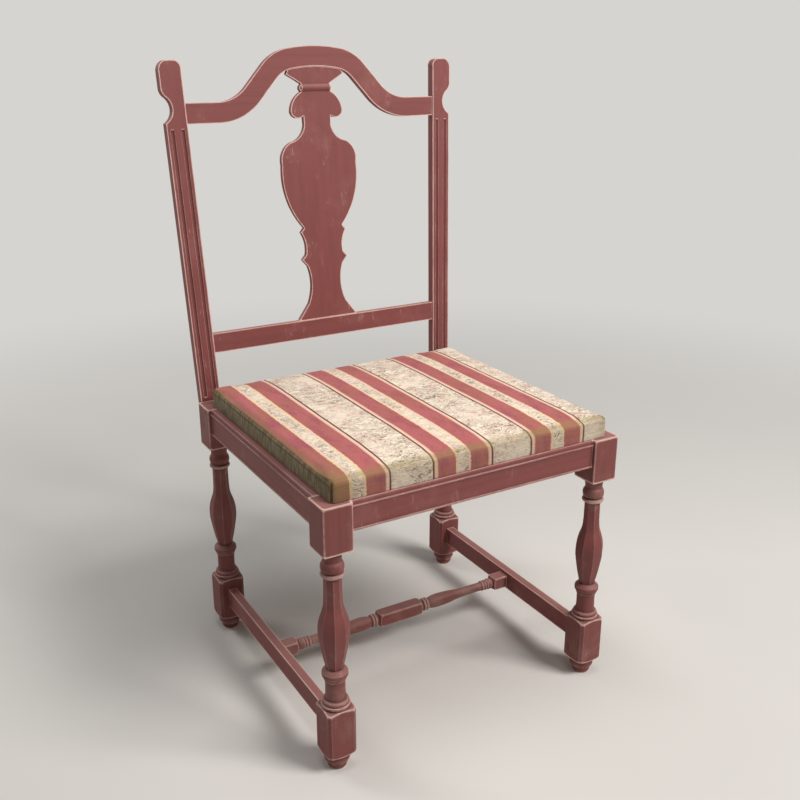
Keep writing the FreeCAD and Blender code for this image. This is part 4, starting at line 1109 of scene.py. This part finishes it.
def seat_staples():
    """Rows of staples along the cloth's margin under the board, left out beside the battens."""
    half_x = SEAT_HIGH.x - SEAT_MIDDLE.x - STAPLE_IN
    half_y = SEAT_HIGH.y - SEAT_MIDDLE.y - STAPLE_IN
    batten_low, batten_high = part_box("left_seat_batten")
    down = Vector((0.0, 0.0, -1.0))
    places = []
    for sign in (-1, 1):
        for index in staple_numbers(half_x, CROSSWAYS_GAP):
            lean = STAPLE_LEAN * math.sin(index * 2.1 + sign)
            spot = Vector((SEAT_MIDDLE.x + index * STAPLE_STEP, SEAT_MIDDLE.y + sign * half_y, SEAT_LOW.z))
            places.append((spot, down, Vector((math.cos(lean), math.sin(lean), 0.0))))
        for index in staple_numbers(half_y, LENGTHWAYS_GAP):
            lean = STAPLE_LEAN * math.sin(index * 1.7 + sign)
            spot = Vector((SEAT_MIDDLE.x + sign * half_x, SEAT_MIDDLE.y + index * STAPLE_STEP, SEAT_LOW.z))
            if not batten_low.y - BATTEN_GAP < spot.y < batten_high.y + BATTEN_GAP:
                places.append((spot, down, Vector((math.sin(lean), math.cos(lean), 0.0))))
    return places


SLOTTED = fastener_tree("slotted_screws", slotted_head)
STAPLED = fastener_tree("seat_staples", staple_back)
fixed(SLOTTED, "corner_block_screws", brace_screws(), SCREW_HEAD, "frame")
fixed(SLOTTED, "back_post_screws", post_screws(), SCREW_HEAD, "frame")
fixed(STAPLED, "seat_staples", seat_staples(), STAPLE, "loose_seat")

# Floor, light and camera, with the camera's angles in degrees
PALE = colour(214, 212, 208)
FLOOR_DARK = colour(216, 214, 210)
FLOOR_LIGHT = colour(222, 220, 217)
FLOOR_CLOUDS = 3.0
FLOOR_REACH = 14.0
FADE_FROM = 0.5
FADE_TO = 2.6
AIM = Vector((0.0, 0.0, 0.45))
SKY = (0.92, 0.94, 0.96, 1.0)
SKY_STRENGTH = 0.085
CAMERA_PLACE = (-0.7254, -1.26137, 0.9635)
CAMERA_DOWN = 19.82
CAMERA_TURN = -30.488
CAMERA_LENS = 43.9
CAMERA_SENSOR = 36.0


def seen_directly(graph):
    """1 for what the camera sees itself, or in gloss or through glass."""
    path = graph.node("ShaderNodeLightPath").socket.node
    camera, glossy, through = [Wire(graph, path.outputs[f"Is {kind} Ray"])
                               for kind in ("Camera", "Glossy", "Transmission")]
    return camera.most(glossy).most(through)


def pale_floor():
    """A matt pale floor that takes the shadow and fades into the backdrop."""
    finish = Finish("pale_floor")
    place = finish.place()
    shade = finish.mixed(FLOOR_DARK, FLOOR_LIGHT, finish.cloud(place, FLOOR_CLOUDS, 2.0))
    matt = finish.node("ShaderNodeBsdfDiffuse", None, {"Color": shade})
    glow = finish.node("ShaderNodeEmission", None, {"Color": PALE, "Strength": 1.0})
    far = finish.node("ShaderNodeVectorMath", {"operation": "LENGTH"}, (place,), out="Value")
    fade = far.rise(FADE_FROM, FADE_TO) * seen_directly(finish)
    shown = finish.node("ShaderNodeMixShader", None, (fade, matt, glow))
    finish.node("ShaderNodeOutputMaterial", None, {"Surface": shown})
    return finish.material


def make_floor():
    """A square of floor far larger than the chair."""
    mesh = bpy.data.meshes.new("floor")
    corners = [(-FLOOR_REACH, -FLOOR_REACH, 0), (FLOOR_REACH, -FLOOR_REACH, 0),
               (FLOOR_REACH, FLOOR_REACH, 0), (-FLOOR_REACH, FLOOR_REACH, 0)]
    mesh.from_pydata(corners, [], [(0, 1, 2, 3)])
    mesh.materials.append(pale_floor())
    return linked("floor", mesh)


def lamp(name, place, size, power, tint):
    """A square lamp that looks at the middle of the chair."""
    light = bpy.data.lights.new(name, "AREA")
    light.size = size
    light.energy = power
    light.color = tint
    holder = linked(name, light)
    holder.location = place
    holder.rotation_euler = (AIM - Vector(place)).to_track_quat("-Z", "Y").to_euler()


def make_world():
    """A dim sky as fill light, which the camera sees as the pale backdrop."""
    world = bpy.data.worlds.new("studio")
    world.use_nodes = True
    sky = Graph(world.node_tree)
    sky.tree.nodes.clear()
    dim = sky.node("ShaderNodeBackground", None, {"Color": SKY, "Strength": SKY_STRENGTH})
    bright = sky.node("ShaderNodeBackground", None, {"Color": PALE, "Strength": 1.0})
    backdrop = sky.node("ShaderNodeMixShader", None, (seen_directly(sky), dim, bright))
    sky.node("ShaderNodeOutputWorld", None, {"Surface": backdrop})
    return world


def make_camera():
    """The camera that was fitted to the chair's straight edges."""
    data = bpy.data.cameras.new("camera")
    data.sensor_width = CAMERA_SENSOR
    data.lens = CAMERA_LENS
    camera = linked("camera", data)
    camera.location = CAMERA_PLACE
    camera.rotation_euler = (math.radians(90 - CAMERA_DOWN), 0.0, math.radians(CAMERA_TURN))
    return camera


floor = make_floor()
lamp("key", (1.3, -2.0, 2.6), 1.2, 94.0, (1.0, 0.96, 0.92))
lamp("top", (-0.1, -0.2, 2.9), 1.4, 24.0, (1.0, 0.98, 0.96))
lamp("rim", (-1.6, 2.0, 1.9), 1.0, 20.0, (1.0, 0.98, 0.95))
bpy.context.scene.world = make_world()
bpy.context.scene.camera = make_camera()
bpy.context.scene.view_settings.view_transform = "Standard"
